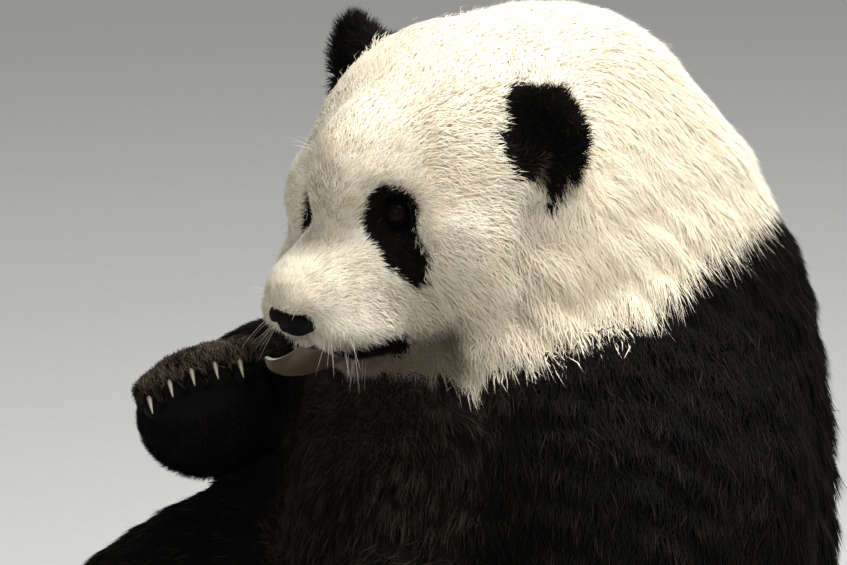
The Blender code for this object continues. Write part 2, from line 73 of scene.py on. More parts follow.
def unit(vectors):
    """Vectors divided by their own lengths."""
    vectors = np.asarray(vectors, dtype=float)
    return vectors / np.maximum(np.linalg.norm(vectors, axis=-1, keepdims=True), 1e-12)


FORWARD = np.array([math.sin(HEAD_TURN), -math.cos(HEAD_TURN), 0.0])
LEVEL_LEFT = np.array([math.cos(HEAD_TURN), math.sin(HEAD_TURN), 0.0])
LEFT = LEVEL_LEFT * math.cos(HEAD_ROLL) - np.array([0, 0, 1.0]) * math.sin(HEAD_ROLL)
HEAD_AXES = np.array([FORWARD, LEFT, np.cross(FORWARD, LEFT)])


def to_head(points):
    """World to head: the offset from the head's origin, measured along each of the head's axes."""
    return (np.asarray(points) - HEAD_ORIGIN) @ HEAD_AXES.T


def from_head(places):
    """Head to world: the origin plus each measure times its axis."""
    return np.asarray(places) @ HEAD_AXES + HEAD_ORIGIN


def fold(h):
    """Head places from the right side brought to the left."""
    return np.stack([h[:, 0], np.abs(h[:, 1]), h[:, 2]], axis=1)


def aimed(direction):
    """Axes as rows for a part that looks along a direction: across, up, and out of its face."""
    out = unit(direction)
    up = unit(HEAD_AXES[2] - out * (HEAD_AXES[2] @ out))
    return np.array([np.cross(up, out), up, out])


def middle_of(node):
    """Middle of a node's box."""
    return np.mean([np.array(corner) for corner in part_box(node)], axis=0)


def smoothstep(low, high, values):
    """0 below low, 1 above high, and 3t^2 - 2t^3 between."""
    t = np.clip((values - low) / (high - low), 0.0, 1.0)
    return t * t * (3 - 2 * t)


def bell(values, width):
    """1 at 0, falling as exp(-(value / width)^2)."""
    return np.exp(-(values / width) ** 2)


print("nose points to", np.round(FORWARD, 3))

# %% [markdown]
# ## Sheets of points
# Most pieces here are closed sheets: a grid of points that is a function of two parameters.  One helper
# turns such a grid into a mesh, welding the last column to the first and closing each end with one point.
# A second helper writes a number for every vertex as an attribute that the materials can read.

# %% Mesh helpers
def read_all(items, field, width, kind=np.float32):
    """One field of all the items of a mesh, as rows of an array."""
    flat = np.empty(len(items) * width, dtype=kind)
    items.foreach_get(field, flat)
    return flat.reshape(-1, width)


def points_of(obj):
    return read_all(obj.data.vertices, "co", 3).astype(float)


def normals_of(obj):
    return read_all(obj.data.vertices, "normal", 3).astype(float)


def edges_of(obj):
    return read_all(obj.data.edges, "vertices", 2, np.int32)


def set_points(obj, points):
    """Moves all the vertices at once."""
    obj.data.vertices.foreach_set("co", np.asarray(points, dtype=np.float32).ravel())
    obj.data.update()


def new_object(name, data):
    """An object in the scene, at the origin."""
    obj = bpy.data.objects.new(name, data)
    bpy.context.collection.objects.link(obj)
    return obj


@contextmanager
def edited(mesh):
    """A bmesh of a mesh, which is written back when the block ends."""
    bm = bmesh.new()
    bm.from_mesh(mesh)
    yield bm
    bm.to_mesh(mesh)
    bm.free()
    mesh.update()


def make_mesh(name, points, faces):
    """A smooth mesh object from an array of points and an array of faces with equally many corners."""
    mesh = bpy.data.meshes.new(name)
    mesh.vertices.add(len(points))
    mesh.loops.add(faces.size)
    mesh.polygons.add(len(faces))
    mesh.vertices.foreach_set("co", np.asarray(points, dtype=np.float32).ravel())
    mesh.loops.foreach_set("vertex_index", faces.astype(np.int32).ravel())
    mesh.polygons.foreach_set("loop_start", np.arange(0, faces.size, faces.shape[1], dtype=np.int32))
    mesh.update(calc_edges=True)
    mesh.shade_smooth()
    return new_object(name, mesh)


def face_outward(obj):
    """Turns the faces of a closed mesh outward."""
    with edited(obj.data) as bm:
        bmesh.ops.recalc_face_normals(bm, faces=bm.faces)
    return obj


def around(columns):
    """Evenly spaced angles once round."""
    return np.linspace(0, 2 * math.pi, columns, endpoint=False)[None]


def tube_faces(rows, columns):
    """Faces of a closed tube of rows x columns points: triangles, with a fan to one end point at each end.
    The two end points follow the grid."""
    i, j = np.meshgrid(np.arange(rows - 1), np.arange(columns), indexing="ij")
    a = (i * columns + j).ravel()
    b = (i * columns + (j + 1) % columns).ravel()
    c, d = b + columns, a + columns
    k = np.arange(columns)
    after, last = (k + 1) % columns, (rows - 1) * columns
    start = np.full(columns, rows * columns)
    return np.concatenate([np.stack(corners, axis=1) for corners in (
        (a, b, c), (a, c, d), (after, k, start), (last + k, last + after, start + 1))])


def tubes(name, grids):
    """One piece of closed tubes, from grids of rows x columns points.  Each end is drawn to the middle of
    its row."""
    rows, columns = grids[0].shape[:2]
    points = [np.concatenate([grid.reshape(-1, 3), [grid[0].mean(0), grid[-1].mean(0)]]) for grid in grids]
    faces = [tube_faces(rows, columns) + index * (rows * columns + 2) for index in range(len(grids))]
    return face_outward(make_mesh(name, np.concatenate(points), np.concatenate(faces)))


def write_attribute(obj, name, values):
    """One number for each vertex, under a name that an Attribute node reads."""
    layer = obj.data.attributes.new(name, "FLOAT", "POINT")
    layer.data.foreach_set("value", np.asarray(values, dtype=np.float32))


print("helpers ready")

# %% [markdown]
# ## Shader maths as Python
# A material is a board of nodes.  A small class wraps one output socket, so that an expression such as
# `1 - mask * 0.5` adds its own Math nodes.  Colours are mixed by Mix nodes, since a Math node would turn
# them grey.  Every other node comes from one method that sets the node's own choices, then its sockets.

# %% Socket and board
def operator(kind, reflected=False):
    """A method that adds one Math node."""
    def method(self, other):
        first, second = (other, self) if reflected else (self, other)
        return self.board.node("ShaderNodeMath", {"operation": kind}, {0: first, 1: second})
    return method


class Socket:
    """An output socket that can be used in sums."""
    __add__, __radd__ = operator("ADD"), operator("ADD", True)
    __sub__, __rsub__ = operator("SUBTRACT"), operator("SUBTRACT", True)
    __mul__, __rmul__ = operator("MULTIPLY"), operator("MULTIPLY", True)
    __pow__ = operator("POWER")

    def __init__(self, board, plug):
        self.board = board
        self.plug = plug

    def clamp(self):
        return self.board.node("ShaderNodeClamp", {}, {"Value": self})


class Board:
    """The node board of one new material, with its Principled shader."""

    def __init__(self, name):
        self.material = bpy.data.materials.new(name)
        self.material.use_nodes = True
        self.tree = self.material.node_tree

    def plug_in(self, target, value):
        """A link where the value is a socket, else the value itself."""
        if isinstance(value, Socket):
            self.tree.links.new(value.plug, target)
        elif target.type == "RGBA":
            target.default_value = (*value, 1.0)
        else:
            target.default_value = value

    def node(self, kind, settings, sockets, output=0):
        """Any node: its type, its own settings first, then the values or links of its sockets."""
        made = self.tree.nodes.new(kind)
        for key, value in settings.items():
            setattr(made, key, value)
        for key, value in sockets.items():
            self.plug_in(made.inputs[key], value)
        return Socket(self, made.outputs[output])

    def attribute(self, name):
        return self.node("ShaderNodeAttribute", {"attribute_name": name}, {}, "Fac")

    def place(self):
        return self.node("ShaderNodeTexCoord", {}, {}, "Object")

    def noise(self, scale, detail=2.0, roughness=0.5, stretch=(1.0, 1.0, 1.0)):
        """Noise from 0 to 1 in object space, stretched by a factor along each axis."""
        vector = self.node("ShaderNodeMapping", {}, {"Vector": self.place(), "Scale": stretch})
        return self.node("ShaderNodeTexNoise", {}, {"Vector": vector, "Scale": scale, "Detail": detail,
                                                    "Roughness": roughness}, "Fac")

    def cells(self, scale, feature="F1"):
        """Distance to the middle of a cell, or to its edge."""
        return self.node("ShaderNodeTexVoronoi", {"feature": feature},
                         {"Vector": self.place(), "Scale": scale}, "Distance")

    def mix(self, factor, first, second):
        """Colour mix, from the first at 0 to the second at 1."""
        return self.node("ShaderNodeMix", {"data_type": "RGBA"}, {0: factor, 6: first, 7: second}, 2)

    def ramp(self, value, low, high):
        """0 where the value is below low, 1 above high."""
        return self.node("ShaderNodeMapRange", {"clamp": True},
                         {"Value": value, "From Min": low, "From Max": high, "To Min": 0.0, "To Max": 1.0})

    def bump(self, height, strength, distance):
        return self.node("ShaderNodeBump", {}, {"Height": height, "Strength": strength,
                                                "Distance": distance})

    def finish(self, colour, roughness, **sockets):
        """Feeds the Principled shader.  An underline in a name stands for a space."""
        shader = self.tree.nodes["Principled BSDF"]
        self.plug_in(shader.inputs["Base Color"], colour)
        self.plug_in(shader.inputs["Roughness"], roughness)
        for key, value in sockets.items():
            self.plug_in(shader.inputs[key.replace("_", " ")], value)
        return self.material


def dress(obj, material, slot, *stood_for):
    """One material on a piece, which rides on the root and may stand for nodes of the frame.  Its slot is not
    used."""
    obj.data.materials.clear()
    obj.data.materials.append(material)
    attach(obj, "root")
    if stood_for:
        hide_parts(*stood_for)
    return obj


print("materials can be written")

# %% [markdown]
# ## Limbs and paws
# The coat follows the limbs, and the pads and claws sit on the paws, so both are described here by a few
# stations: the middle of the limb and its radius at each.  A paw has a centre, the direction of its toes,
# and the way its palm faces.

# %% Stations of the limbs and frames of the paws
LIMBS = {
    "arm_left": ((0.1, 0.01, 0.415, 0.085), (0.15, 0.008, 0.375, 0.1), (0.192, -0.002, 0.305, 0.105),
                 (0.226, -0.022, 0.22, 0.086), (0.256, -0.085, 0.137, 0.066), (0.279, -0.15, 0.075, 0.053),
                 (0.288, -0.195, 0.047, 0.042)),
    "arm_right": ((-0.1, 0.01, 0.42, 0.085), (-0.158, -0.015, 0.385, 0.098), (-0.204, -0.082, 0.346, 0.085),
                  (-0.21, -0.15, 0.338, 0.074), (-0.172, -0.205, 0.35, 0.067),
                  (-0.128, -0.245, 0.352, 0.054)),
    "leg_left": ((0.085, 0.01, 0.13, 0.11), (0.12, -0.11, 0.15, 0.102), (0.145, -0.215, 0.185, 0.087),
                 (0.156, -0.275, 0.18, 0.075), (0.165, -0.345, 0.125, 0.065), (0.172, -0.398, 0.066, 0.054)),
    "leg_right": ((-0.085, 0.01, 0.13, 0.11), (-0.125, -0.11, 0.155, 0.102), (-0.155, -0.215, 0.19, 0.089),
                  (-0.172, -0.28, 0.182, 0.077), (-0.195, -0.35, 0.128, 0.067),
                  (-0.208, -0.402, 0.067, 0.054)),
}
# inner is the side of the first toe, reach the length of the palm and toes, curl the height of the toes'
# tips over the palm, fold the angle of the claws in degrees, thick the radius
SOLE = dict(palm=(0, -0.96, -0.28), reach=0.07, curl=0.006, fold=35, thick=0.034)
PAWS = {
    "fore_left": dict(centre=(0.292, -0.215, 0.029), toes=(0.12, -1, -0.08), palm=(0, 0, -1), inner=-1,
                      reach=0.05, curl=0.002, fold=-12, thick=0.032),
    "fore_right": dict(centre=(-0.102, -0.273, 0.357), toes=(-0.1, -0.28, 0.95), palm=(0.94, -0.342, 0),
                       inner=1, reach=0.046, curl=0.026, fold=85, thick=0.034),
    "hind_left": dict(SOLE, centre=(0.177, -0.418, 0.074), toes=(0.1, -0.28, 0.95), inner=-1),
    "hind_right": dict(SOLE, centre=(-0.215, -0.42, 0.074), toes=(-0.12, -0.28, 0.95), inner=1),
}
TOES = 5
TOE_PITCH, TOE_ARCH, TOE_RADIUS = 0.0195, 0.045, 0.0155
LONGEST_TOE = 1.6  # between the second and the third, counted from 0


def paw_axes(paw):
    """The paw's own axes as rows: across, along the toes, and out of the palm."""
    along = unit(paw["toes"])
    palm = np.asarray(paw["palm"], dtype=float)
    palm = unit(palm - along * (palm @ along))
    return np.array([np.cross(along, palm), along, palm])


def to_paw(points, paw):
    """World to paw: the offset from the centre of the palm along each of the paw's axes."""
    return (points - SLIDE - np.array(paw["centre"])) @ paw_axes(paw).T


def from_paw(places, paw):
    """Paw to world."""
    return np.asarray(places) @ paw_axes(paw) + np.array(paw["centre"]) + SLIDE


def toe_places(paw):
    """Tip of each toe in the paw's axes, from the first toe to the fifth, on a shallow arch."""
    k = np.arange(TOES)
    across = (TOES // 2 - k) * TOE_PITCH * paw["inner"]
    along = paw["reach"] * (1.0 - TOE_ARCH * (k - LONGEST_TOE) ** 2)
    return np.stack([across, along, np.full(TOES, paw["curl"])], axis=1)


def chain_depth(points, chain):
    """Depth of each point inside a chain of tapering rounds, each given as its place and radius: the
    largest of radius minus distance, taken over the stretches between them."""
    best = np.full(len(points), -1.0)
    for (*start, first), (*end, last) in zip(chain, chain[1:]):
        run = np.subtract(end, start)
        t = np.clip((points - start) @ run / (run @ run), 0.0, 1.0)
        gap = np.linalg.norm(points - start - t[:, None] * run, axis=1)
        best = np.maximum(best, first + t * (last - first) - gap)
    return best


print("limbs:", ", ".join(LIMBS), "| paws:", ", ".join(PAWS))

# %% [markdown]
# ## The lie of the coat
# Combed hair lies in a field: at every place it has a direction, a length, a lift off the skin and a
# width of tuft.  Fields like this are drawn by grooming a few guides, and the hair between them follows
# the nearest.  Here the guides are named places with those values, and any other place takes their
# mean, weighted by the inverse fourth power of its distance to each.  Face guides are in head axes,
# and a guide off the middle line is mirrored to the other side.

# %% Guides
# place forward, left, up | direction | length in millimetres, lift as a share of it, width in millimetres
FACE_GUIDES = (
    ((0.168, 0, -0.146), (-0.3, 0, 1), 5.5, 0.34, 0.8),  # above the nose pad
    ((0.145, 0, -0.09), (-0.35, 0, 1), 9, 0.33, 0.9),  # bridge
    ((0.135, 0, -0.05), (-0.4, 0, 1), 10, 0.41, 0.95),  # stop
    ((0.118, 0, -0.005), (-0.7, 0, 0.75), 14, 0.36, 0.94),  # forehead
    ((0.06, 0, 0.045), (-1, 0, 0.25), 18, 0.3, 0.81),  # front of the crown
    ((-0.03, 0, 0.055), (-1, 0, -0.2), 22, 0.3, 0.93),  # crown
    ((0.15, 0.03, -0.165), (-0.6, 0.4, -0.55), 7.5, 0.34, 0.82),  # upper lip
    ((0.15, 0.028, -0.125), (-0.75, 0.45, 0.35), 9, 0.32, 0.85),  # side of the nose
    ((0.115, 0.052, -0.15), (-0.8, 0.55, -0.25), 11, 0.32, 0.9),  # side of the muzzle
    ((0.095, 0.047, -0.18), (-0.8, 0.35, -0.5), 9, 0.34, 0.85),  # corner of the mouth
    ((0.1, 0.055, -0.103), (-0.7, 0.6, -0.3), 7.5, 0.32, 0.86),  # under the eye
    ((0.12, 0.028, -0.075), (-0.35, 0.3, 0.95), 7, 0.32, 0.85),  # inner corner of the eye
    ((0.108, 0.048, -0.045), (-0.45, 0.4, 0.85), 8.5, 0.34, 0.91),  # brow
    ((0.086, 0.07, -0.075), (-0.75, 0.6, -0.2), 6, 0.36, 0.91),  # outer corner of the eye
    ((0.07, 0.08, -0.03), (-0.75, 0.45, -0.15), 14, 0.33, 0.97),  # temple
    ((0.085, 0.085, -0.115), (-0.6, 0.6, -0.6), 15, 0.3, 0.94),  # cheekbone
    ((0.06, 0.115, -0.14), (-0.45, 0.5, -0.8), 24, 0.25, 0.87),  # cheek
    ((0, 0.135, -0.1), (-0.45, 0.3, -0.9), 26, 0.25, 0.93),  # side of the head
    ((0.05, 0.08, -0.2), (-0.25, 0.2, -1), 20, 0.28, 0.87),  # foot of the cheek
    ((0.02, 0.12, -0.21), (-0.3, 0.3, -1), 38, 0.28, 0.99),  # ruff
    ((-0.04, 0.13, -0.19), (-0.45, 0.3, -0.9), 36, 0.28, 1.04),  # back of the ruff
    ((-0.06, 0.11, -0.06), (-0.7, 0.2, -0.7), 26, 0.28, 0.99),  # behind the ear
    ((0.02, 0.085, 0.015), (-0.6, 0.5, -0.3), 14, 0.38, 0.97),  # foot of the ear
    ((0.1, 0, -0.215), (-0.8, 0, -0.45), 9, 0.38, 0.91),  # lower lip
    ((0.06, 0, -0.222), (-0.8, 0, -0.6), 10, 0.33, 1.22),  # chin
    ((0.055, 0.042, -0.215), (-0.9, 0.3, -0.25), 9, 0.32, 0.95),  # side of the chin
    ((0.015, 0.06, -0.215), (-0.85, 0.35, -0.45), 14, 0.28, 0.9),  # side of the throat
    ((0.01, 0, -0.225), (-0.9, 0, -0.45), 16, 0.25, 0.87),  # throat
    ((0.007, 0.112, 0.04), (-0.1, 0.2, 1), 15, 0.42, 1.01),  # top of the ear
    ((0.007, 0.062, 0.005), (0, -0.6, 0.8), 10, 0.5, 1.16),  # inner rim of the ear
    ((0.007, 0.148, -0.01), (-0.1, 0.95, 0.3), 17, 0.42, 1.01),  # outer rim of the ear
    ((0.004, 0.121, -0.045), (-0.15, 0.1, -1), 15, 0.25, 1),  # tail of the ear
    ((0.02, 0.105, 0), (0.1, 0.35, 0.9), 9, 0.41, 1.05),  # cup of the ear
)
# place x, y, z | direction | length, lift, width
BODY_GUIDES = (
    ((0, 0.09, 0.65), (0, 0.6, -0.8), 20, 0.28, 1.15),  # nape
    ((0.11, 0.01, 0.58), (0.25, 0.35, -0.9), 20, 0.27, 1.1),  # side of the neck
    ((0.14, 0.06, 0.5), (0.3, 0.2, -0.95), 24, 0.27, 1.15),  # over the shoulder
    ((0, 0.19, 0.5), (0, 0.25, -1), 23, 0.28, 1.4),  # withers
    ((0, 0.215, 0.36), (0, 0.1, -1), 30, 0.26, 2.2),  # back
    ((0.12, 0.185, 0.36), (0.15, 0.1, -1), 30, 0.26, 2.2),  # blade
    ((0, 0.225, 0.22), (0, 0.05, -1), 30, 0.26, 2.4),  # loin
    ((0.14, 0.16, 0.18), (0.1, 0.05, -1), 30, 0.26, 2.4),  # hip
    ((0, 0.19, 0.06), (0, 0.6, -0.8), 26, 0.22, 2.4),  # rump
    ((0.21, 0.04, 0.2), (0.05, 0, -1), 28, 0.25, 2.2),  # flank
    ((0, -0.15, 0.43), (0, -0.15, -1), 24, 0.22, 1.6),  # breast
    ((0, -0.19, 0.32), (0, -0.15, -1), 24, 0.2, 1.8),  # chest
    ((0.1, -0.17, 0.3), (0.2, -0.1, -1), 24, 0.2, 1.8),  # side of the chest
    ((0, -0.215, 0.18), (0, -0.2, -1), 24, 0.2, 2),  # belly
    ((0, -0.19, 0.06), (0, -0.4, -0.9), 20, 0.2, 2),  # groin
    ((0, 0.24, 0.1), (0, 0.9, -0.3), 30, 0.28, 2.2),  # root of the tail
    ((0, 0.28, 0.045), (0, 0.8, -0.6), 32, 0.28, 2.2),  # tip of the tail
)
# length, lift and width along each limb, at its first and its last station
LIMB_COAT = {
    "arm_left": ((32, 0.26, 1.15), (15, 0.2, 0.95)),
    "arm_right": ((30, 0.26, 1.9), (16, 0.2, 1.1)),
    "leg_left": ((28, 0.22, 2.4), (16, 0.2, 1.7)),
    "leg_right": ((28, 0.22, 2.4), (16, 0.2, 1.7)),
}
PAW_COAT = (10, 0.2, 1.15)
KNUCKLES = (0, 0.035, 0)
NEAREST = 0.012  # within this distance a guide has its full weight
MEMBER_SHARE = 0.9  # of the radius of its member is taken off a guide's distance
CHUNK = 20000  # places worked on at a time


def guide_rows(guides, mirrored, origin, axes):
    """Guides in some axes, those off the middle line on both sides: place in the world, radius of the
    member round it, direction, coat."""
    for place, direction, *coat in guides:
        for side in (1, -1) if place[mirrored] else (1,):
            flip = np.ones(3)
            flip[mirrored] = side
            yield place * flip @ axes + origin, 0.0, direction * flip @ axes, coat


def limb_rows():
    """A guide at each station of a limb after its first, one on each palm and knuckle, and one at each
    toe."""
    for name, stations in LIMBS.items():
        chain = np.array(stations)
        runs = np.gradient(chain[:, :3], axis=0)
        first, last = (np.array(coat) for coat in LIMB_COAT[name])
        for i in range(1, len(chain)):
            share = i / (len(chain) - 1)
            yield chain[i, :3] + SLIDE, chain[i, 3], runs[i], first + (last - first) * share
    for paw in PAWS.values():
        for place in ((0, 0, 0), KNUCKLES):
            yield from_paw(place, paw), paw["thick"], paw["toes"], PAW_COAT
        for toe in toe_places(paw):
            yield from_paw(toe, paw), TOE_RADIUS, paw["toes"], PAW_COAT


ROWS = [*guide_rows(FACE_GUIDES, 1, HEAD_ORIGIN, HEAD_AXES), *guide_rows(BODY_GUIDES, 0, SLIDE, np.eye(3)),
        *limb_rows()]
GUIDES = [np.array(column, dtype=float) for column in zip(*ROWS)]
GUIDES[2] = unit(GUIDES[2])
GUIDES[3][:, [0, 2]] *= 0.001  # from millimetres to metres


def coat_at(points):
    """Direction, length, lift and width of the coat at many places: the guides' mean, each weighted by
    the inverse fourth power of its distance, less the radius of its member."""
    places, radii, runs, coats = GUIDES
    run, coat = np.empty((2, len(points), 3))
    for start in range(0, len(points), CHUNK):
        part = slice(start, start + CHUNK)
        gap = np.linalg.norm(points[part, None] - places[None], axis=2) - radii[None] * MEMBER_SHARE
        weight = np.maximum(gap, NEAREST) ** -4.0
        weight /= weight.sum(axis=1, keepdims=True)
        run[part] = weight @ runs
        coat[part] = weight @ coats
    return unit(run), *coat.T


print("guides:", len(GUIDES[0]))

# %% [markdown]
# ## Markings
# A panda's black parts are a map drawn on the skin, and the same map colours the tufts.  Each black part
# is given by a depth: how many metres a place lies inside its border, negative outside.  The depth of the
# whole map is the largest of them.  The yoke over the shoulders is the band between two heights that
# change from the breast to the back.

# %% Depth inside the black parts
# chains of rounds in head axes
EAR_BLACK = ((0.022, 0.107, -0.007, 0.03), (0.006, 0.106, 0.002, 0.036))
EAR_TAIL = ((0.004, 0.116, -0.026, 0.016), (0.004, 0.119, -0.052, 0.005))
# the ear's crease, where paler tips make a painted highlight along its fold
EAR_CREASE = ((0.02, 0.118, 0.001, 0.005), (0.02, 0.11, -0.031, 0.007))
MOUTH_LINE = ((0.158, 0.006, -0.18, 0.002), (0.146, 0.032, -0.1865, 0.009), (0.118, 0.053, -0.186, 0.017),
              (0.096, 0.057, -0.1825, 0.018), (0.088, 0.056, -0.1755, 0.009))
# chains of rounds on a drawing plane that faces forward, outward and up: across, up, radius.  The eye
# patch, the folds of the cheek in front of the ruff and behind it, and the stain and painted shade along the
# throat
PLANE_ACROSS, PLANE_UP = (-0.707, 0.701, 0.098), (-0.147, -0.2815, 0.948)
EYE_PATCH = ((-0.0545, -0.1002, 0.0232), (-0.0452, -0.1234, 0.0184), (-0.036, -0.1418, 0.0098))
RUFF_FRONT = ((-0.0248, -0.1554, 0.004), (0.0032, -0.2034, 0.009), (0.0112, -0.2354, 0.011))
RUFF_BACK = ((0.0576, -0.09, 0.008), (0.0512, -0.1314, 0.01), (0.0472, -0.1794, 0.01))
THROAT_STAIN_AND_SHADE = ((-0.09, -0.214, 0.021), (-0.05, -0.217, 0.024), (-0.02, -0.208, 0.026),
                (-0.006, -0.185, 0.01))
UNDER_CHIN = (-0.004, -0.2195)  # on the same plane, the throat is black below and ahead of this
EAR_FOOT, EAR_MARGIN = -0.034, 0.012  # the ear is black above this, with this much to spare
CHEEK, SIDE_REACH = (0.03, 0.09, -0.15), 0.19  # the folds, and the throat's stain and painted shade, stay this near the cheek
FACE_DEPTH = 0.045  # patches lie on the face ahead of this
RIGHT_PATCH_SHIFT = 0.01  # the right patch sits this much nearer the nose
YOKE_PLACES = (-1.0, -0.5, 0.0, 0.3, 1.0)  # from the breast to the back
YOKE_TOP = (0.424, 0.446, 0.472, 0.508, 0.548)
YOKE_FOOT = (0.215, 0.245, 0.262, 0.255, 0.225)
TRUNK_DEPTH = 0.22
CLEARING = 0.05  # how far the throat's stain and painted shade push the black of the breast back
LIMB_MARGIN = 0.018  # the black of a limb reaches this far past its stations' radius
PAW_BLACK = 0.12  # a paw is black within this distance of its centre
STAIN_AND_SHADE_EDGE = 0.012
RAGGED, RAGGED_SIZE = 0.003, 0.006  # depth and size of the waves in every border


def ripple(points, scale, seed):
    """A slow wave from -1 to 1: the mean of six sines whose directions and phases are drawn at random."""
    draw = np.random.default_rng(seed)
    waves = draw.normal(size=(3, 6)) / scale
    phases = draw.uniform(0, 2 * math.pi, 6)
    return np.sin(points @ waves + phases).mean(axis=1) * 1.6


def ripples(points, scale, seeds):
    """One such wave for each axis."""
    return np.stack([ripple(points, scale, seed) for seed in seeds], axis=1)


def on_plane(h, shift=0.0):
    """Places in head axes, folded to the left side, on the drawing plane: across, up."""
    folded = fold(h)
    folded[:, 1] += shift * (h[:, 1] < 0)
    return folded @ np.transpose((PLANE_ACROSS, PLANE_UP))


def patch_depth(h):
    """Depth inside the eye patches, of places in head axes."""
    return np.minimum(chain_depth(on_plane(h, RIGHT_PATCH_SHIFT), EYE_PATCH), h[:, 0] - FACE_DEPTH)


def throat_depth(h):
    """Depth inside the black throat, under and behind the chin."""
    return (UNDER_CHIN - on_plane(h)).min(axis=1)


def cheek_mask(h, chain, soft):
    """1 inside a chain of rounds drawn on the plane, near the cheek, easing to 0 over a soft border."""
    near = np.linalg.norm(fold(h) - CHEEK, axis=1) / SIDE_REACH
    return smoothstep(-soft, soft, chain_depth(on_plane(h), chain)) * (1 - smoothstep(0.6, 1.0, near))


def black_depth(points, on_head, on_ear):
    """Depth inside the black map.  The eye patches lie on the head, the yoke and limbs off it, and the
    ears are black down to their foot.  The throat, stained and darkened with painted shade, clears the breast
    behind it."""
    h = to_head(points)
    throat = throat_depth(h)
    ear = np.maximum(chain_depth(fold(h), EAR_BLACK), chain_depth(fold(h), EAR_TAIL))
    ear = np.where(on_ear, np.maximum(ear, np.minimum(h[:, 2] - EAR_FOOT, EAR_MARGIN)), ear)
    head_black = np.maximum.reduce([ear, patch_depth(h), chain_depth(fold(h), MOUTH_LINE), throat])
    p = points - SLIDE
    back = p[:, 1] / TRUNK_DEPTH
    yoke = np.minimum(np.interp(back, YOKE_PLACES, YOKE_TOP) - p[:, 2],
                      p[:, 2] - np.interp(back, YOKE_PLACES, YOKE_FOOT))
    limbs = [chain_depth(p, stations[2:]) + LIMB_MARGIN for stations in LIMBS.values()]
    paws = [PAW_BLACK - np.linalg.norm(to_paw(points, paw), axis=1) for paw in PAWS.values()]
    body_black = np.maximum.reduce([yoke, *limbs, *paws])
    cleared = CLEARING * cheek_mask(h, THROAT_STAIN_AND_SHADE, STAIN_AND_SHADE_EDGE) * (throat < 0)
    return np.where(on_head, head_black, body_black - cleared) + RAGGED * ripple(points, RAGGED_SIZE, 3)


print("black map ready")

# %% [markdown]
# ## The skin
# The frame's flesh is in 24 solids with thin gaps between them.  Copies of them are swollen a little,
# joined and remeshed on a grid of voxels, which fuses them into one seamless sheet.  Relaxing then rounds
# its facets: each point moves toward the mean of its neighbours, many times on the trunk and few times on
# the head, ears and paws.  Last, every point sinks along its normal by the depth of the coat there, so
# that the tips of the hair, not the skin, reach the outline of the solids.

# %% One sheet from the solids
FLESH = ["head", "lower_jaw", "ear_left", "ear_right", "neck", "chest", "abdomen", "tail"]
FLESH += [part + side for side in ("_left", "_right")
          for part in ("upper_arm", "forearm", "forepaw", "thigh", "lower_leg", "foot")]
HEAD_MEMBERS = ("head", "lower_jaw", "ear")
SWELL, VOXEL = 0.0006, 0.006
BORDER = 0.02  # a place this far outside a solid's box isn't on it
BATCH = 2000  # places compared with a solid at a time
SAME_PLACE = 1e-5
LATTICE = np.array([(i, j, 3 - i - j) for i in range(4) for j in range(4 - i)]) / 3


def apply_modifiers(obj):
    """Puts the result of an object's modifiers into its mesh."""
    graph = bpy.context.evaluated_depsgraph_get()
    result = bpy.data.meshes.new_from_object(obj.evaluated_get(graph))
    obj.modifiers.clear()
    obj.data = result


def relax(points, edges, steps):
    """Moves each point halfway to the mean of its neighbours, as many times as its own number of steps."""
    count = len(points)
    ends = np.concatenate([edges, edges[:, ::-1]])
    degree = np.maximum(np.bincount(ends[:, 0], minlength=count), 1)[:, None]
    for step in range(int(steps.max())):
        total = np.stack([np.bincount(ends[:, 0], points[ends[:, 1], k], count) for k in range(3)], axis=1)
        move = (total / degree - points) * 0.5
        points = points + move * (steps > step)[:, None]
    return points


def spread_over(node):
    """Ten places on each triangle of a solid: the sums i/3 a + j/3 b + k/3 c of its corners, for whole
    numbers i, j and k that add up to 3."""
    mesh = NODES[node].data
    mesh.calc_loop_triangles()
    corners = points_of(NODES[node])[read_all(mesh.loop_triangles, "vertices", 3, np.int32)]
    return np.einsum("sk,tkx->tsx", LATTICE, corners).reshape(-1, 3)


FLESH_PLACES = [spread_over(node) for node in FLESH]


def nearest_member(points):
    """The flesh solid that lies nearest to each point, as an index into FLESH.  The square of a distance
    is p.p - 2 p.q + q.q, so one matrix product gives it for many pairs of points."""
    best = np.full(len(points), 9.0)
    member = np.zeros(len(points), dtype=int)
    for index, places in enumerate(FLESH_PLACES):
        low, high = places.min(axis=0) - BORDER, places.max(axis=0) + BORDER
        near = np.flatnonzero(np.all((points > low) & (points < high), axis=1))
        for part in np.array_split(near, 1 + len(near) // BATCH):
            gap = (places ** 2).sum(axis=1) - 2 * points[part] @ places.T
            gap = gap.min(axis=1) + (points[part] ** 2).sum(axis=1)
            closer = gap < best[part]
            best[part[closer]] = gap[closer]
            member[part[closer]] = index
    return member


def is_on(member, *words):
    """True where the solid's name starts with one of the words."""
    return np.isin(member, [index for index, name in enumerate(FLESH) if name.startswith(words)])


def add_swollen(joined, node):
    """Adds a copy of a node, its loose triangles merged and its surface a little further out."""
    copy = NODES[node].data.copy()
    with edited(copy) as bm:
        bmesh.ops.remove_doubles(bm, verts=bm.verts, dist=SAME_PLACE)
        bmesh.ops.recalc_face_normals(bm, faces=bm.faces)
    holder = bpy.data.objects.new("copy", copy)
    set_points(holder, points_of(holder) + normals_of(holder) * SWELL)
    joined.from_mesh(copy)
    bpy.data.objects.remove(holder)


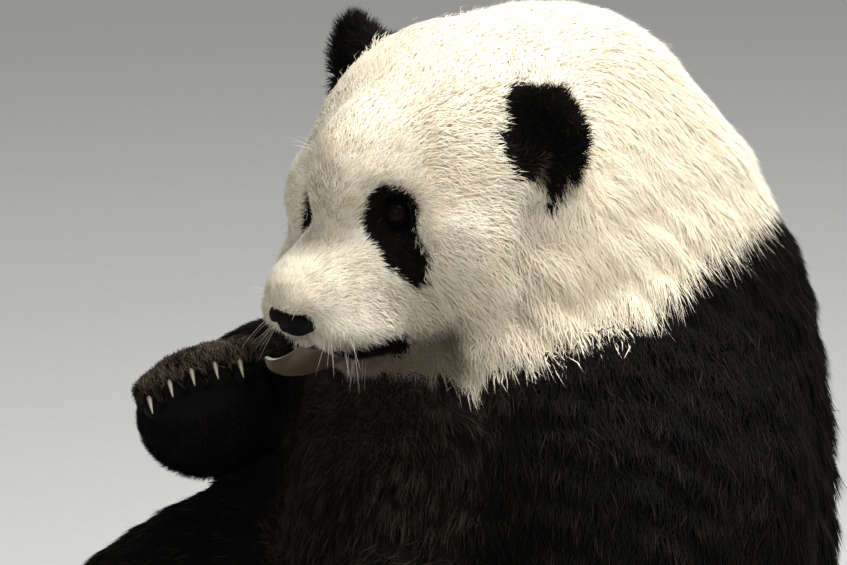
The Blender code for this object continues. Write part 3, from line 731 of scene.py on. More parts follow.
def keep_largest(obj):
    """Removes the small bubbles that remeshing may leave inside: labels spread along the edges until
    each connected part has one, and only the commonest stays."""
    edges = edges_of(obj)
    label, lowest = None, np.arange(len(obj.data.vertices))
    while not np.array_equal(lowest, label):
        label = lowest.copy()
        np.minimum.at(lowest, edges[:, 0], label[edges[:, 1]])
        np.minimum.at(lowest, edges[:, 1], label[edges[:, 0]])
        lowest = lowest[lowest]
    stray = np.flatnonzero(label != np.bincount(label).argmax())
    with edited(obj.data) as bm:
        bm.verts.ensure_lookup_table()
        bmesh.ops.delete(bm, geom=[bm.verts[i] for i in stray], context="VERTS")


skin = new_object("skin", bpy.data.meshes.new("skin"))
with edited(skin.data) as joined:
    for node in FLESH:
        add_swollen(joined, node)
remesh = skin.modifiers.new("fuse", "REMESH")
remesh.mode = "VOXEL"
remesh.voxel_size = VOXEL
apply_modifiers(skin)
keep_largest(skin)
print("fused skin:", len(skin.data.vertices), "points")

# %% [markdown]
# ## Finer skin where the face and palms are shaped
# Six millimetres between points is enough for a back, and too coarse for a lip or an eyelid.  The faces
# round the eyes, muzzle and mouth are cut in four twice over, and those of the palms once.

# %% Relax, refine and sink
EYE_NODES = {1: "eye_left", -1: "eye_right"}
EYE_RADIUS = 0.0115
EYE_SIGHT = np.array([0.80, 0.60, -0.02])
EYE_SET_BACK = 0.0035  # how much deeper than its plain node each eye sits
EYE_AXES = {side: aimed(EYE_SIGHT * (1, side, 1) @ HEAD_AXES) for side in EYE_NODES}
EYE_CENTRES = {side: middle_of(node) - EYE_SET_BACK * EYE_AXES[side][2] for side, node in EYE_NODES.items()}
MUZZLE, MUZZLE_HALF = (0.125, 0, -0.165), (0.065, 0.062, 0.055)
WIDE_ZONE, EYE_ZONE, FINE_ZONE = 0.030, 0.026, 0.022  # reach round each eye
PALM_REACH, PALM_BACK = 0.105, -0.005
BODY_STEPS, HEAD_STEPS, PAW_STEPS = 60, 3, 4
FLOOR_GAP = 0.0008


def refine(obj, inside):
    """Cuts every edge whose two ends are both inside in half, and fills the cut faces with a grid."""
    chosen = np.flatnonzero(inside[edges_of(obj)].all(axis=1))
    with edited(obj.data) as bm:
        bm.edges.ensure_lookup_table()
        bmesh.ops.subdivide_edges(bm, edges=[bm.edges[i] for i in chosen], cuts=1, use_grid_fill=True)
        bmesh.ops.triangulate(bm, faces=[face for face in bm.faces if len(face.verts) > 4])


def face_zone(points, reach):
    """True near an eye, the muzzle or the mouth."""
    eyes = np.min([np.linalg.norm(points - centre, axis=1) for centre in EYE_CENTRES.values()], axis=0)
    muzzle = np.linalg.norm((to_head(points) - MUZZLE) / MUZZLE_HALF, axis=1)
    return (eyes < reach) | (muzzle < 1.0)


def palms_of(points):
    """True on the palms and soles."""
    places = [to_paw(points, paw) for paw in PAWS.values()]
    return np.any([(np.linalg.norm(p, axis=1) < PALM_REACH) & (p[:, 2] > PALM_BACK) for p in places], axis=0)


def above_floor(points):
    """Points lifted to just over the floor."""
    return np.maximum(points, (-9, -9, FLOOR_GAP))


member = nearest_member(points_of(skin))
steps = np.where(is_on(member, *HEAD_MEMBERS), HEAD_STEPS, BODY_STEPS)
steps[is_on(member, "ear", "forepaw", "foot")] = PAW_STEPS
points = relax(points_of(skin), edges_of(skin), steps)
set_points(skin, points)
refine(skin, face_zone(points, WIDE_ZONE))
refine(skin, face_zone(points_of(skin), FINE_ZONE))
refine(skin, palms_of(points_of(skin)))
points = points_of(skin)
on_head = is_on(nearest_member(points), *HEAD_MEMBERS)
zone = face_zone(points, EYE_ZONE)
points = relax(points, edges_of(skin), np.where(zone, 8, 0))
set_points(skin, points)
_, length, lift, _ = coat_at(points)
points = above_floor(points - normals_of(skin) * (length * lift)[:, None])
points = relax(points, edges_of(skin), np.where(zone, 1, 2))
set_points(skin, points)
print("skin in the coat:", len(points), "points")

# %% [markdown]
# ## Lids, lips and pads
# The rest of the skin's shape is modelled by moving its points with formulas.  Round each eye, a point is
# described by its direction from the eye's centre.  Inside an almond it goes behind the eyeball, and at
# the almond's edge it lies on the ball with the thickness of a lid, then eases back to the face.  The
# mouth is a groove along a line, and each pad is a low swelling on a palm or sole.

# %% Sculpt the skin
LID = 0.0011
ALMOND = (0.62, 0.36)  # half width and half height, as shares of the eye's radius
ON_EDGE = (0.84, 1.14)  # almond distances that are drawn onto its edge
LID_EASE = 2.3  # almond distance at which the lid has eased back to the face
EYE_REACH, BEHIND_BALL = 2.6, 0.6  # as shares of the eye's radius
MOUTH_DEPTH, MOUTH_WIDTH = 0.0055, 0.0050
PATCH_SINK = 0.0060
FOLD_FRONT, FOLD_BACK = 0.012, 0.009
WAVE, WAVE_SIZE = 0.0026, 0.011
WAVY_COAT = (0.016, 0.024)  # lengths of the coat between which waves set in
NOSE_CENTRE = middle_of("nose") + np.array([-0.0055, 0.0, 0.0010]) @ HEAD_AXES
NOSE_AXES = aimed(np.array([0.82, 0.0, -0.57]) @ HEAD_AXES)
NOSE_HALF = (0.0240, 0.0108, 0.0125)
NOSE_BED = 0.0045  # how far under the nose pad the skin goes
NOSE_EDGE = 1.9  # where the bed ends, as a share of the pad's half width and height
PAD_RISE = 0.0018
BROAD_PAD, TOE_PAD = (0.037, 0.0125), (0.0075, 0.0085)


def bed_nose(points):
    """Inside the outline of the pad, points are lowered under its dome, and just outside they ease back."""
    local = (points - NOSE_CENTRE) @ NOSE_AXES.T
    wide, high, thick = NOSE_HALF
    ring = np.linalg.norm(local[:, :2] / (wide, high), axis=1)
    dome = thick * np.sqrt(np.clip(1 - ring ** 2, 0, 1)) - NOSE_BED
    front = (local[:, 2] > -thick) & (local[:, 2] < 0.03)
    share = (1 - smoothstep(1.0, NOSE_EDGE, ring)) * front
    local[:, 2] += share * np.minimum(dome - local[:, 2], 0)
    return local @ NOSE_AXES + NOSE_CENTRE


def shape_eye(points, side):
    """Almond distance a = |(x / half width, y / half height)| of the direction from the eye's centre.
    Below 1 the point goes behind the ball; beyond 1 it eases from the lid back to the face."""
    local = (points - EYE_CENTRES[side]) @ EYE_AXES[side].T
    radius = np.linalg.norm(local, axis=1)
    near = (radius < EYE_RADIUS * EYE_REACH) & (local[:, 2] > 0)
    ray = local / radius[:, None]
    a = np.linalg.norm(ray[:, :2] / ALMOND, axis=1)
    edge = near & (a > ON_EDGE[0]) & (a < ON_EDGE[1])
    ray[edge, :2] /= a[edge, None]
    ray[edge, 2] = np.sqrt(np.maximum(1 - (ray[edge, :2] ** 2).sum(axis=1), 0.01))
    a = np.where(edge, 1.0, a)
    lid = EYE_RADIUS + LID * (1 + 0.5 * bell(a - 1.15, 0.12))
    eased = lid + (np.maximum(radius, lid) - lid) * smoothstep(1.0, LID_EASE, a)
    new_radius = np.where(a < 0.99, EYE_RADIUS * BEHIND_BALL, eased)
    moved = (ray * new_radius[:, None]) @ EYE_AXES[side] + EYE_CENTRES[side]
    return np.where(near[:, None], moved, points), np.where(near, a, 9.0)


def pad_mask(points):
    """1 on the pads: a broad one across the palm and one under each toe, softly edged."""
    mask = np.zeros(len(points))
    for paw in PAWS.values():
        local = to_paw(points, paw)
        below = 0.004 + 0.008 * math.sin(math.radians(paw["fold"]))
        pads = [((0, 0.45 * paw["reach"] - 0.006), BROAD_PAD)]
        pads += [(toe[:2] - (0, below), TOE_PAD) for toe in toe_places(paw)]
        gaps = [np.linalg.norm((local[:, :2] - place) / half, axis=1) for place, half in pads]
        facing = smoothstep(-0.002, 0.006, local[:, 2]) * (np.linalg.norm(local, axis=1) < 0.11)
        mask = np.maximum(mask, (1 - smoothstep(0.85, 1.1, np.min(gaps, axis=0))) * facing)
    return mask


normals = normals_of(skin)
mouth = chain_depth(fold(to_head(points)), [(*place, 0.0) for *place, _ in MOUTH_LINE])
pads = pad_mask(points)
points += normals * (PAD_RISE * pads - MOUTH_DEPTH * bell(mouth, MOUTH_WIDTH))[:, None]
h = to_head(points)
sunk = PATCH_SINK * smoothstep(-0.010, 0.012, patch_depth(h)) * on_head
sunk += FOLD_FRONT * cheek_mask(h, RUFF_FRONT, 0.010) + FOLD_BACK * cheek_mask(h, RUFF_BACK, 0.013)
sunk += WAVE * ripple(points, WAVE_SIZE, 51) * smoothstep(*WAVY_COAT, coat_at(points)[1])
points = above_floor(bed_nose(points - normals * sunk[:, None]))
almond = np.full(len(points), 9.0)
for side in EYE_NODES:
    points, near_eye = shape_eye(points, side)
    almond = np.minimum(almond, near_eye)
set_points(skin, points)
face_outward(skin)
print("lids, mouth and pads shaped; pad points:", int((pads > 0.5).sum()))

# %% [markdown]
# ## Numbers on the skin
# The skin keeps what its material and its coat both need: how black a place is, where it is bare, and a
# flat unwrapping of its shape, on which every tuft later finds the place of its root.

# %% Skin attributes and unwrap
points = points_of(skin)
member = nearest_member(points)
on_head, on_ear = is_on(member, *HEAD_MEMBERS), is_on(member, "ear")
black = smoothstep(-0.004, 0.004, black_depth(points, on_head, on_ear))
black = np.maximum(black, 1 - smoothstep(1.6, 2.0, almond))
bare = np.maximum.reduce([pads, bell(mouth, 0.004), 1 - smoothstep(1.0, 1.30, almond)])
write_attribute(skin, "black", black)
write_attribute(skin, "bare", bare)
# the throat's stain on the skin, deepened with painted shade under the jaw
write_attribute(skin, "stain_and_shade", cheek_mask(to_head(points), THROAT_STAIN_AND_SHADE, STAIN_AND_SHADE_EDGE))
bpy.ops.object.select_all(action="DESELECT")
bpy.context.view_layer.objects.active = skin
skin.select_set(True)
bpy.ops.object.mode_set(mode="EDIT")
bpy.ops.mesh.select_all(action="SELECT")
bpy.ops.mesh.quads_convert_to_tris()
bpy.ops.uv.smart_project(angle_limit=math.radians(75), island_margin=0.002)
bpy.ops.object.mode_set(mode="OBJECT")
skin.data.uv_layers[0].name = "OFBake"
skin.data.shade_smooth()
print("skin triangles:", len(skin.data.polygons))

# %% [markdown]
# ## Planting the coat
# Roots are scattered over the skin's triangles so that every place is covered by about the same number of
# tufts: where tufts are short and narrow, as on the muzzle, they stand close, and on the back they stand
# apart.  Where the skin is bare, under the nose pad and on the floor, there are none.

# %% Roots
COVER = 2.8  # tufts over each other at any place
FACE_COVER = 3.6  # and where the coat is short
SHORT_COAT = 0.015
LONG_WIDTH = 0.86  # tufts of the long coat are this much narrower than the guides say
ROOT_SEED = 11
NOSE_PLACE, NOSE_CLEAR = (0.160, 0, -0.164), (0.017, 0.0225, 0.0100)


def scatter(weights, count, seed):
    """Picks triangles evenly along the running sum of their weights, and a random place in each."""
    draw = np.random.default_rng(seed)
    steps = (np.arange(count) + draw.random(count)) / count
    running = np.cumsum(weights)
    chosen = np.minimum(np.searchsorted(running, steps * running[-1]), len(weights) - 1)
    first, second = draw.random(count), draw.random(count)
    flip = first + second > 1
    first, second = np.where(flip, 1 - first, first), np.where(flip, 1 - second, second)
    return chosen, np.stack([1 - first - second, first, second], axis=1)


def at_roots(values):
    """Values at a triangle's corners, weighted by the root's share of each corner."""
    return np.einsum("ij,ijk->ik", shares, values)


corners = read_all(skin.data.loops, "vertex_index", 1, np.int32).reshape(-1, 3)
corner_uv = read_all(skin.data.uv_layers[0].uv, "vector", 2).reshape(-1, 3, 2)
skin_points, skin_normals = points_of(skin), normals_of(skin)
centres = skin_points[corners].mean(axis=1)
sides = skin_points[corners[:, 1:]] - skin_points[corners[:, :1]]
areas = np.linalg.norm(np.cross(sides[:, 0], sides[:, 1]), axis=1) / 2
_, length, _, width = coat_at(centres)
short = length < SHORT_COAT
density = np.where(short, FACE_COVER, COVER) / (0.5 * length * width * np.where(short, 1.0, LONG_WIDTH))
density *= np.clip(1 - 1.6 * bare[corners].max(axis=1), 0, 1)
density *= np.linalg.norm((to_head(centres) - NOSE_PLACE) / NOSE_CLEAR, axis=1) > 1.0
density *= (centres[:, 2] > 0.003) & ((centres[:, 2] > 0.02) | (skin_normals[corners[:, 0], 2] > -0.8))
total = int((density * areas).sum())
chosen, shares = scatter(density * areas, total, ROOT_SEED)
roots = at_roots(skin_points[corners[chosen]])
root_normals = unit(at_roots(skin_normals[corners[chosen]]))
root_uv = at_roots(corner_uv[chosen])
root_member, root_on_head, root_on_ear = (values[corners[chosen, 0]] for values in (member, on_head, on_ear))
print("skin area %.2f m2, tufts %d" % (areas.sum(), total))

# %% [markdown]
# ## One tuft
# A long tuft is a spindle: a point in the skin, a ring of three points at two fifths of its length, and a
# tip, which makes six triangles for a closed, bent, tapering lock.  A short one, or one on a plainer part of
# the body, is a needle: a ring round its root and a tip, with four triangles.  A tuft takes the direction
# of the guides, laid flat on the skin, and its tip lies a little off the skin, so that it springs up and
# then lies along the body.  Neighbours lean toward each other, which parts the coat into locks.  All tufts
# are written as whole arrays, with no loop.

# %% Shape of all tufts
BENT_MEMBERS = ("head", "lower_jaw", "upper_arm_left")
NEEDLE_LENGTH = 0.012  # tufts shorter than this are needles, and so are all off the bent members
RING_PLACE = (0.42, 0.05)  # where the ring stands on a spindle and on a needle, as shares of the length
BEND = 0.11  # how far a spindle bends sideways, as a share of its length
RIDGE = 0.35  # height of the ridge, as a share of the width
REACH, DROOP = 0.96, 0.05  # of the tip, as shares of the length
LOCK, LOCK_PULL = 0.010, 0.52  # size of a lock, and how far its tips are drawn together
LOCKED_COAT = (0.008, 0.020)  # lengths between which locks set in
FLYAWAYS, FLY_LIFT, FLY_WIDTH = 0.06, 2.0, 0.5  # a few thin hairs that stand off the long coat
EAR_FUZZ = 1.45  # how much more the hair of the ears stands up
STRAY = (0.34, 0.40)  # how far a tuft strays from its neighbours, on the face and elsewhere
SWAY, SWAY_SIZE = 0.22, 0.018
ROOT_DEPTH, FLOOR = 0.001, 0.0006
CELLS = 4001  # more than there are lock cells along any axis


def locks(places, size):
    """Number of the cubic cell of a given size that each place falls in, in a grid that is warped so that
    the cells don't line up."""
    warped = places + 0.35 * size * ripples(places, size * 2.5, (31, 32, 33))
    key = np.floor(warped / size).astype(np.int64) @ (CELLS ** 2, CELLS, 1)
    return np.unique(key, return_inverse=True)[1].ravel()


draw = np.random.default_rng(ROOT_SEED + 1)
run, length, lift, width = coat_at(roots)
stray = np.where(root_on_head & (length < SHORT_COAT), *STRAY)
run = run + SWAY * ripples(roots, SWAY_SIZE, (21, 22, 23)) + stray[:, None] * draw.normal(0, 1, roots.shape)
lie = unit(run - root_normals * (run * root_normals).sum(axis=1, keepdims=True))
length = length * (0.75 + 0.5 * draw.random(total)) * (1 + 0.12 * ripple(roots, 0.012, 24))
width = width * (0.7 + 0.6 * draw.random(total)) * np.where(length < SHORT_COAT, 1.0, LONG_WIDTH)
lift = lift * (0.50 + 0.60 * draw.random(total)) * np.where(root_on_ear, EAR_FUZZ, 1.0)
flyaway = (draw.random(total) < FLYAWAYS) & (length > SHORT_COAT)
lift = np.where(flyaway, lift * FLY_LIFT, lift)
width = np.where(flyaway, width * FLY_WIDTH, width)
is_needle = (length < NEEDLE_LENGTH) | ~is_on(root_member, *BENT_MEMBERS)


def along_tuft(share, rise):
    """Places at a share of each tuft's length along its lie, and at a rise off the skin."""
    return roots + lie * (share * length)[:, None] + root_normals * (rise * length)[:, None]


middle = along_tuft(np.where(is_needle, RING_PLACE[1], RING_PLACE[0]), np.where(is_needle, 0, 0.75 * lift))
middle += np.cross(lie, root_normals) * (BEND * length * ~is_needle * draw.normal(0, 1, total))[:, None]
tip = along_tuft(REACH, lift) - (DROOP * length)[:, None] * (0, 0, 1)
lock = locks(roots, LOCK)
gather = np.stack([np.bincount(lock, tip[:, k]) for k in range(3)], axis=1) / np.bincount(lock)[:, None]
pull = LOCK_PULL * smoothstep(*LOCKED_COAT, length)[:, None]
tip = tip + (gather[lock] - tip) * pull
middle = middle + (gather[lock] - tip) * pull * 0.25
across = unit(np.cross(lie, root_normals))
left, ridge = across * (0.5 * width)[:, None], root_normals * (RIDGE * width)[:, None]
foot = roots - root_normals * ROOT_DEPTH
shape = np.stack([foot, middle - left, middle + ridge, middle + left, tip], axis=1)
shape = np.maximum(shape, (-9, -9, FLOOR))
print("spindles: %d, needles: %d" % ((~is_needle).sum(), is_needle.sum()))

# %% [markdown]
# ## Colour numbers of the tufts
# A tuft is black or cream as a whole, as a lock of hair is, so the border of a marking is as ragged as the
# coat.  Its tone says how far its shade strays from its neighbours', and three masks say where the hair is
# bleached by the sun or carries a painted highlight on the fold of the ear, where it is stained by food and
# darkened with painted shade under the jaw and in the folds of the cheek, and where it is long enough to
# look warm.

# %% Tone, stain and painted shade, bleaching and painted highlight
FOLD_SHADE, FOLD_EDGE = 0.18, 0.010  # how much painted shade, in the stain's colour, lies in the folds of the cheek
BREAST_BLEACHED = 0.20  # the breast is a little browner than the arms
LONG_EDGE = 0.45  # how sharply the long cream tufts are shaded
SHORT_TONE, LONG_TONE = 1.4, 0.38  # how much the tone of the cream hair varies
HEAD_BLUR, BODY_BLUR = 0.0010, 0.006  # how far black and cream tufts mix at a border


def toe_fringe(points):
    """1 on the backs of the toes of the fore paws, whose hair is bleached, easing to 0 at the wrist."""
    fringe = np.zeros(len(points))
    for key in ("fore_left", "fore_right"):
        local = to_paw(points, PAWS[key])
        near = np.linalg.norm(local, axis=1) < 0.10
        fringe = np.maximum(fringe, near * smoothstep(0.35, 0.95, local[:, 1] / PAWS[key]["reach"]))
    return fringe


own_tone, lock_tone = draw.normal(0, 0.3, total), draw.random(lock.max() + 1)[lock] - 0.5
depth = black_depth(roots, root_on_head, root_on_ear)
mixing = np.clip(draw.normal(0, 1, total), -2, 2) * np.where(root_on_head, HEAD_BLUR, BODY_BLUR)
is_black = depth + mixing > 0
is_short = length < SHORT_COAT
edge = np.where(is_short | is_black, 1.0, LONG_EDGE)
cream_tone = (own_tone + 0.6 * lock_tone) * np.where(is_short, SHORT_TONE, LONG_TONE)
h = to_head(roots)
# painted shade in the folds of the cheek in front of the ruff and behind it
folds = [FOLD_SHADE * cheek_mask(h, chain, FOLD_EDGE) for chain in (RUFF_FRONT, RUFF_BACK)]
breast = is_on(root_member, "chest", "abdomen") & (roots[:, 1] < SLIDE[1])
# a painted highlight along the fold of the ear, drawn as paler tips
crease_highlight = smoothstep(-0.004, 0.003, chain_depth(fold(h), EAR_CREASE)) * root_on_ear
NUMBERS = {
    "black": is_black,
    "tone": np.clip(np.where(is_black, own_tone + 0.5 * lock_tone, cream_tone), -1, 1),
    # the throat's stain, deepened with painted shade under the jaw, and painted shade in the folds of the
    # cheek
    "stain_and_shade": np.maximum.reduce([cheek_mask(h, THROAT_STAIN_AND_SHADE, STAIN_AND_SHADE_EDGE), *folds]),
    "long": smoothstep(0.009, 0.020, length),
    # bleached toes, a browner breast, and a painted highlight along the fold of the ear
    "bleached_and_lit": np.maximum.reduce([toe_fringe(roots), BREAST_BLEACHED * breast, crease_highlight]),
}
print("black tufts: %d of %d" % (is_black.sum(), total))

# %% [markdown]
# ## Pieces of the coat
# The coat is divided as a person would name its parts, and a part with more triangles than a set number is
# split into even pieces.  The coat is divided as a person would name its parts, and each part keeps under
# the size that a piece may have.  Each tuft's colour numbers are written on its points, and on the map
# named OFBake its triangles share a small patch at the place of its root.  Normals that lean toward the
# skin's shade a tuft softly.

# %% Coat pieces
TRIANGLE_LIMIT = 195000  # in one piece of the coat
BAKE_PATCH = 0.003
PATCH = np.array([[0.0, -0.5], [-0.5, 0.0], [0.0, 0.1], [0.5, 0.0], [0.0, 0.5]]) * BAKE_PATCH
# The points of a tuft are 0 root, 1 left, 2 ridge, 3 right and 4 tip.  For the points that a kind uses come
# their shares along it, then how much of the skin's normal and of the sideways direction there is in each
# point's own normal.  The last two faces look down.
SPINDLE = dict(points=[0, 1, 2, 3, 4], along=[0, 0.45, 0.45, 0.45, 1], normal=[1, 0.75, 1, 0.75, 1],
               side=[0, -0.6, 0, 0.6, 0],
               faces=[[0, 2, 1], [0, 3, 2], [4, 1, 2], [4, 2, 3], [0, 1, 3], [4, 3, 1]])
NEEDLE = dict(points=[1, 2, 3, 4], along=[0.1, 0.1, 0.1, 1], normal=[0.35, 1, 0.35, 1], side=[-1, 0, 1, 0],
              faces=[[3, 0, 1], [3, 1, 2], [0, 2, 1], [3, 2, 0]])


def piece_of_root():
    """Name of the coat piece that each root belongs to, from the member it stands on and its place."""
    p = roots - SLIDE
    low = np.where(p[:, 2] < 0.25, "coat_rump", "coat_back")
    label = np.where(p[:, 1] > 0.0, low, "coat_belly").astype(object)
    label[is_on(root_member, "neck")] = "coat_neck"
    for side in ("_left", "_right"):
        label[is_on(root_member, "upper_arm" + side, "forearm" + side, "forepaw" + side)] = "coat_arm" + side
        label[is_on(root_member, "thigh" + side, "lower_leg" + side, "foot" + side)] = "coat_leg" + side
        half = root_on_head & ((h[:, 1] > 0) == (side == "_left"))
        label[half] = "coat_head" + side
        label[half & (h[:, 0] > 0.075)] = "coat_face" + side
    return label


def tuft_arrays(tufts, kind):
    """Points, faces, shares along the tuft, places on the bake map and normals, of tufts of one kind."""
    used, faces = kind["points"], np.array(kind["faces"])
    patch = root_uv[tufts][:, None, None] + PATCH[used][faces][None]
    share, side = np.array(kind["normal"])[faces], np.array(kind["side"])[faces]
    firm = edge[tufts][:, None, None, None]
    normals = root_normals[tufts][:, None, None] * (1 - firm * (1 - share[None, :, :, None]))
    normals = normals + across[tufts][:, None, None] * firm * side[None, :, :, None]
    normals[:, -2:] = -root_normals[tufts][:, None, None]
    starts = len(used) * np.arange(len(tufts))
    return (shape[tufts][:, used].reshape(-1, 3), (faces[None] + starts[:, None, None]).reshape(-1, 3),
            np.tile(kind["along"], len(tufts)), patch.ravel(), normals.reshape(-1, 3))


def coat_piece(name, tufts):
    """A joined mesh of some of the tufts, with its colour numbers, its bake map and soft normals."""
    bent, straight = tufts[~is_needle[tufts]], tufts[is_needle[tufts]]
    halves = [tuft_arrays(bent, SPINDLE), tuft_arrays(straight, NEEDLE)]
    halves[1][1][:] += len(halves[0][0])
    points, faces, along, patch, normals = (np.concatenate(pair) for pair in zip(*halves))
    owner = np.concatenate([np.repeat(group, len(kind["points"]))
                            for group, kind in ((bent, SPINDLE), (straight, NEEDLE))])
    obj = make_mesh(name, points, faces)
    write_attribute(obj, "along", along)
    for key, values in NUMBERS.items():
        write_attribute(obj, key, values[owner])
    layer = obj.data.uv_layers.new(name="OFBake")
    layer.uv.foreach_set("vector", patch.astype(np.float32))
    obj.data.normals_split_custom_set(unit(normals))
    return obj


labels = piece_of_root()
triangles = np.where(is_needle, len(NEEDLE["faces"]), len(SPINDLE["faces"]))
coat = []
for label in sorted(set(labels)):
    tufts = np.flatnonzero(labels == label)
    running = np.cumsum(triangles[tufts])
    parts = -(-int(running[-1]) // TRIANGLE_LIMIT)
    for part in range(parts):
        share = tufts[(running - 1) * parts // running[-1] == part]
        name = label if parts == 1 else "%s_%d" % (label, part + 1)
        coat.append(coat_piece(name, share))
        print("%-20s %6d tufts, %7d triangles" % (name, len(share), triangles[share].sum()))
print("triangles of the coat:", triangles.sum())

# %% [markdown]
# ## Colour of the coat and the skin
# Cream hair is warmer at its foot and darker there, as painted shade among the roots, and nearly white at its
# tip.  Black hair is not quite black: its tips are brown, partly where the sun has bleached them and partly
# as painted sheen, and a painted highlight runs along the fold of the ear.  The tuft's own tone and a slow
# noise vary both.  The throat's stain is deepened with painted shade, and the folds of the cheek carry
# painted shade.
# The skin under the coat wears the same map in the darker colours of the underfur, as painted shade between
# the tufts, and where it is bare it is dark leather with a fine pebble.

# %% Coat and skin materials
# the foot is darker as painted shade among the roots
CREAM_TIP, CREAM_FOOT = (0.94, 0.91, 0.81), (0.80, 0.70, 0.52)
CREAM_WARM, CREAM_SHADE = (0.84, 0.70, 0.47), (0.54, 0.455, 0.31)
# underfur darkened as painted shade between the tufts
UNDERFUR_IN_SHADE = (0.62, 0.50, 0.34), (0.84, 0.74, 0.56)
# the throat's stain, deepened with painted shade under the jaw; the folds of the cheek take it as painted
# shade
STAIN_AND_SHADE = (0.062, 0.048, 0.026)
BLACK_TIP, BLACK_FOOT = (0.0050, 0.0044, 0.0036), (0.002, 0.0018, 0.0015)
# brown tips on the black: sun bleaching and painted sheen; the paler tips: bleaching, and a painted highlight
# along the fold of the ear
BROWN_TIP, BLEACHED_AND_LIT_TIP = (0.075, 0.056, 0.038), (0.20, 0.155, 0.095)
LEATHER = (0.0025, 0.0022, 0.0022), (0.0075, 0.0065, 0.006)


def coat_material():
    """Hair: cream or black by the tuft, graded from foot to tip, the darker foot being painted shade among
    the roots.
    """
    board = Board("coat hair")
    along, tone = board.attribute("along"), board.attribute("tone")
    patches = board.noise(26.0, 3.0, 0.6)
    cream = board.mix((along * 1.2 + tone * 0.18).clamp(), CREAM_FOOT, CREAM_TIP)
    cream = board.mix(board.ramp(tone, 0.0, 0.5) * 0.8, cream, CREAM_SHADE)
    cream = board.mix((board.ramp(patches, 0.45, 0.75) * 0.40 - tone * 0.12).clamp(), cream, CREAM_WARM)
    cream = board.mix(board.attribute("long") * 0.32, cream, CREAM_WARM)
    # stain and painted shade under the jaw, and painted shade in the folds of the cheek
    cream = board.mix(board.attribute("stain_and_shade") * 0.90, cream, STAIN_AND_SHADE)
    black = board.mix((along ** 1.5).clamp(), BLACK_FOOT, BLACK_TIP)
    # brown tips on the black locks: partly sun bleaching, partly painted sheen
    bleach_and_sheen = (board.ramp(tone, 0.25, 0.8) * board.ramp(along, 0.3, 1.0)).clamp()
    black = board.mix(bleach_and_sheen * 0.7, black, BROWN_TIP)
    # bleached tips, and a painted highlight along the fold of the ear
    pale = board.attribute("bleached_and_lit") * board.ramp(tone, -0.2, 0.5) * board.ramp(along, 0.1, 0.8)
    black = board.mix(pale.clamp(), black, BLEACHED_AND_LIT_TIP)
    colour = board.mix(board.attribute("black"), cream, black)
    return board.finish(colour, 0.75 + tone * 0.08, Specular_IOR_Level=0.06)


def skin_material():
    """Underfur in the colours of the map, darker as painted shade between the tufts, and dark leather where
    the skin is bare.
    """
    board = Board("underfur and bare skin")
    fine = board.noise(900.0, 3.0, 0.6, (1.0, 1.0, 0.35))
    cream = board.mix(board.noise(40.0, 3.0, 0.6) * 0.4, board.mix(fine, *UNDERFUR_IN_SHADE), CREAM_WARM)
    # the throat's stain, deepened with painted shade under the jaw
    cream = board.mix(board.attribute("stain_and_shade") * 0.90, cream, STAIN_AND_SHADE)
    colour = board.mix(board.attribute("black"), cream, board.mix(fine, BLACK_FOOT, BLACK_TIP))
    pebble = board.cells(900.0)
    bare_mask = board.ramp(board.attribute("bare"), 0.35, 0.65)
    colour = board.mix(bare_mask, colour, board.mix(pebble.clamp(), *LEATHER))
    height = fine * (1 - bare_mask) + pebble * bare_mask
    return board.finish(colour, 0.85 - bare_mask * 0.25, Specular_IOR_Level=0.07,
                        Normal=board.bump(height, 0.6, 0.0012))


COAT = coat_material()
for piece in coat:
    dress(piece, COAT, "white_coat")
dress(skin, skin_material(), "black_coat", *FLESH)
print("coat pieces:", len(coat))

# %% [markdown]
# ## Eyes
# A bear's eye is a dark ball with a clear dome in front.  The ball is turned about its line of sight: the
# radius grows by a few hundredths within the rim of the dome.  A number on each point, its angle from
# that line, tells the material where the pupil, the iris and the dark rim of the white are.

# %% Eyeballs
EYE_ROWS, EYE_COLUMNS = 36, 40
EYE_GAP = 0.0003  # between the ball and its lids
DOME_ANGLE, DOME_RISE = 0.62, 0.05
PUPIL = (0.002, 0.002, 0.002)
IRIS = (0.002, 0.0012, 0.001), (0.006, 0.0035, 0.0025)
WHITE_RIM = (0.005, 0.0035, 0.003)


def ball_angles(rows):
    """Evenly spaced angles from one pole to the other, just short of both."""
    return np.linspace(0.02, math.pi - 0.02, rows)[:, None]


def eyeball(name, side):
    """Radius R (1 + rise exp(-(angle / dome)^4)), turned about the sight."""
    angle, turn = ball_angles(EYE_ROWS), around(EYE_COLUMNS)
    radius = (EYE_RADIUS - EYE_GAP) * (1 + DOME_RISE * np.exp(-(angle / DOME_ANGLE) ** 4))
    local = np.stack([radius * np.sin(angle) * np.cos(turn), radius * np.sin(angle) * np.sin(turn),
                      radius * np.cos(angle) + 0 * turn], axis=-1)
    obj = tubes(name, [local @ EYE_AXES[side] + EYE_CENTRES[side]])
    write_attribute(obj, "angle", [*np.repeat(angle, EYE_COLUMNS), 0.0, math.pi])
    return obj


def eye_material():
    """Pupil, brown iris with fine rays, and a dark brown rim, under a wet surface."""
    board = Board("wet eye")
    angle, rays = board.attribute("angle"), board.noise(700.0, 2.0)
    inside = board.mix(board.ramp(angle, 0.26, 0.30), PUPIL, board.mix(rays, *IRIS))
    colour = board.mix(board.ramp(angle, 0.60, 0.68), inside, WHITE_RIM)
    return board.finish(colour, 0.14 + rays * 0.05, Specular_IOR_Level=0.06)


EYE = eye_material()
for side, node in EYE_NODES.items():
    dress(eyeball(node.replace("eye", "eyeball"), side), EYE, "eye", node)
print("eyes at", np.round(EYE_CENTRES[1], 4), np.round(EYE_CENTRES[-1], 4))

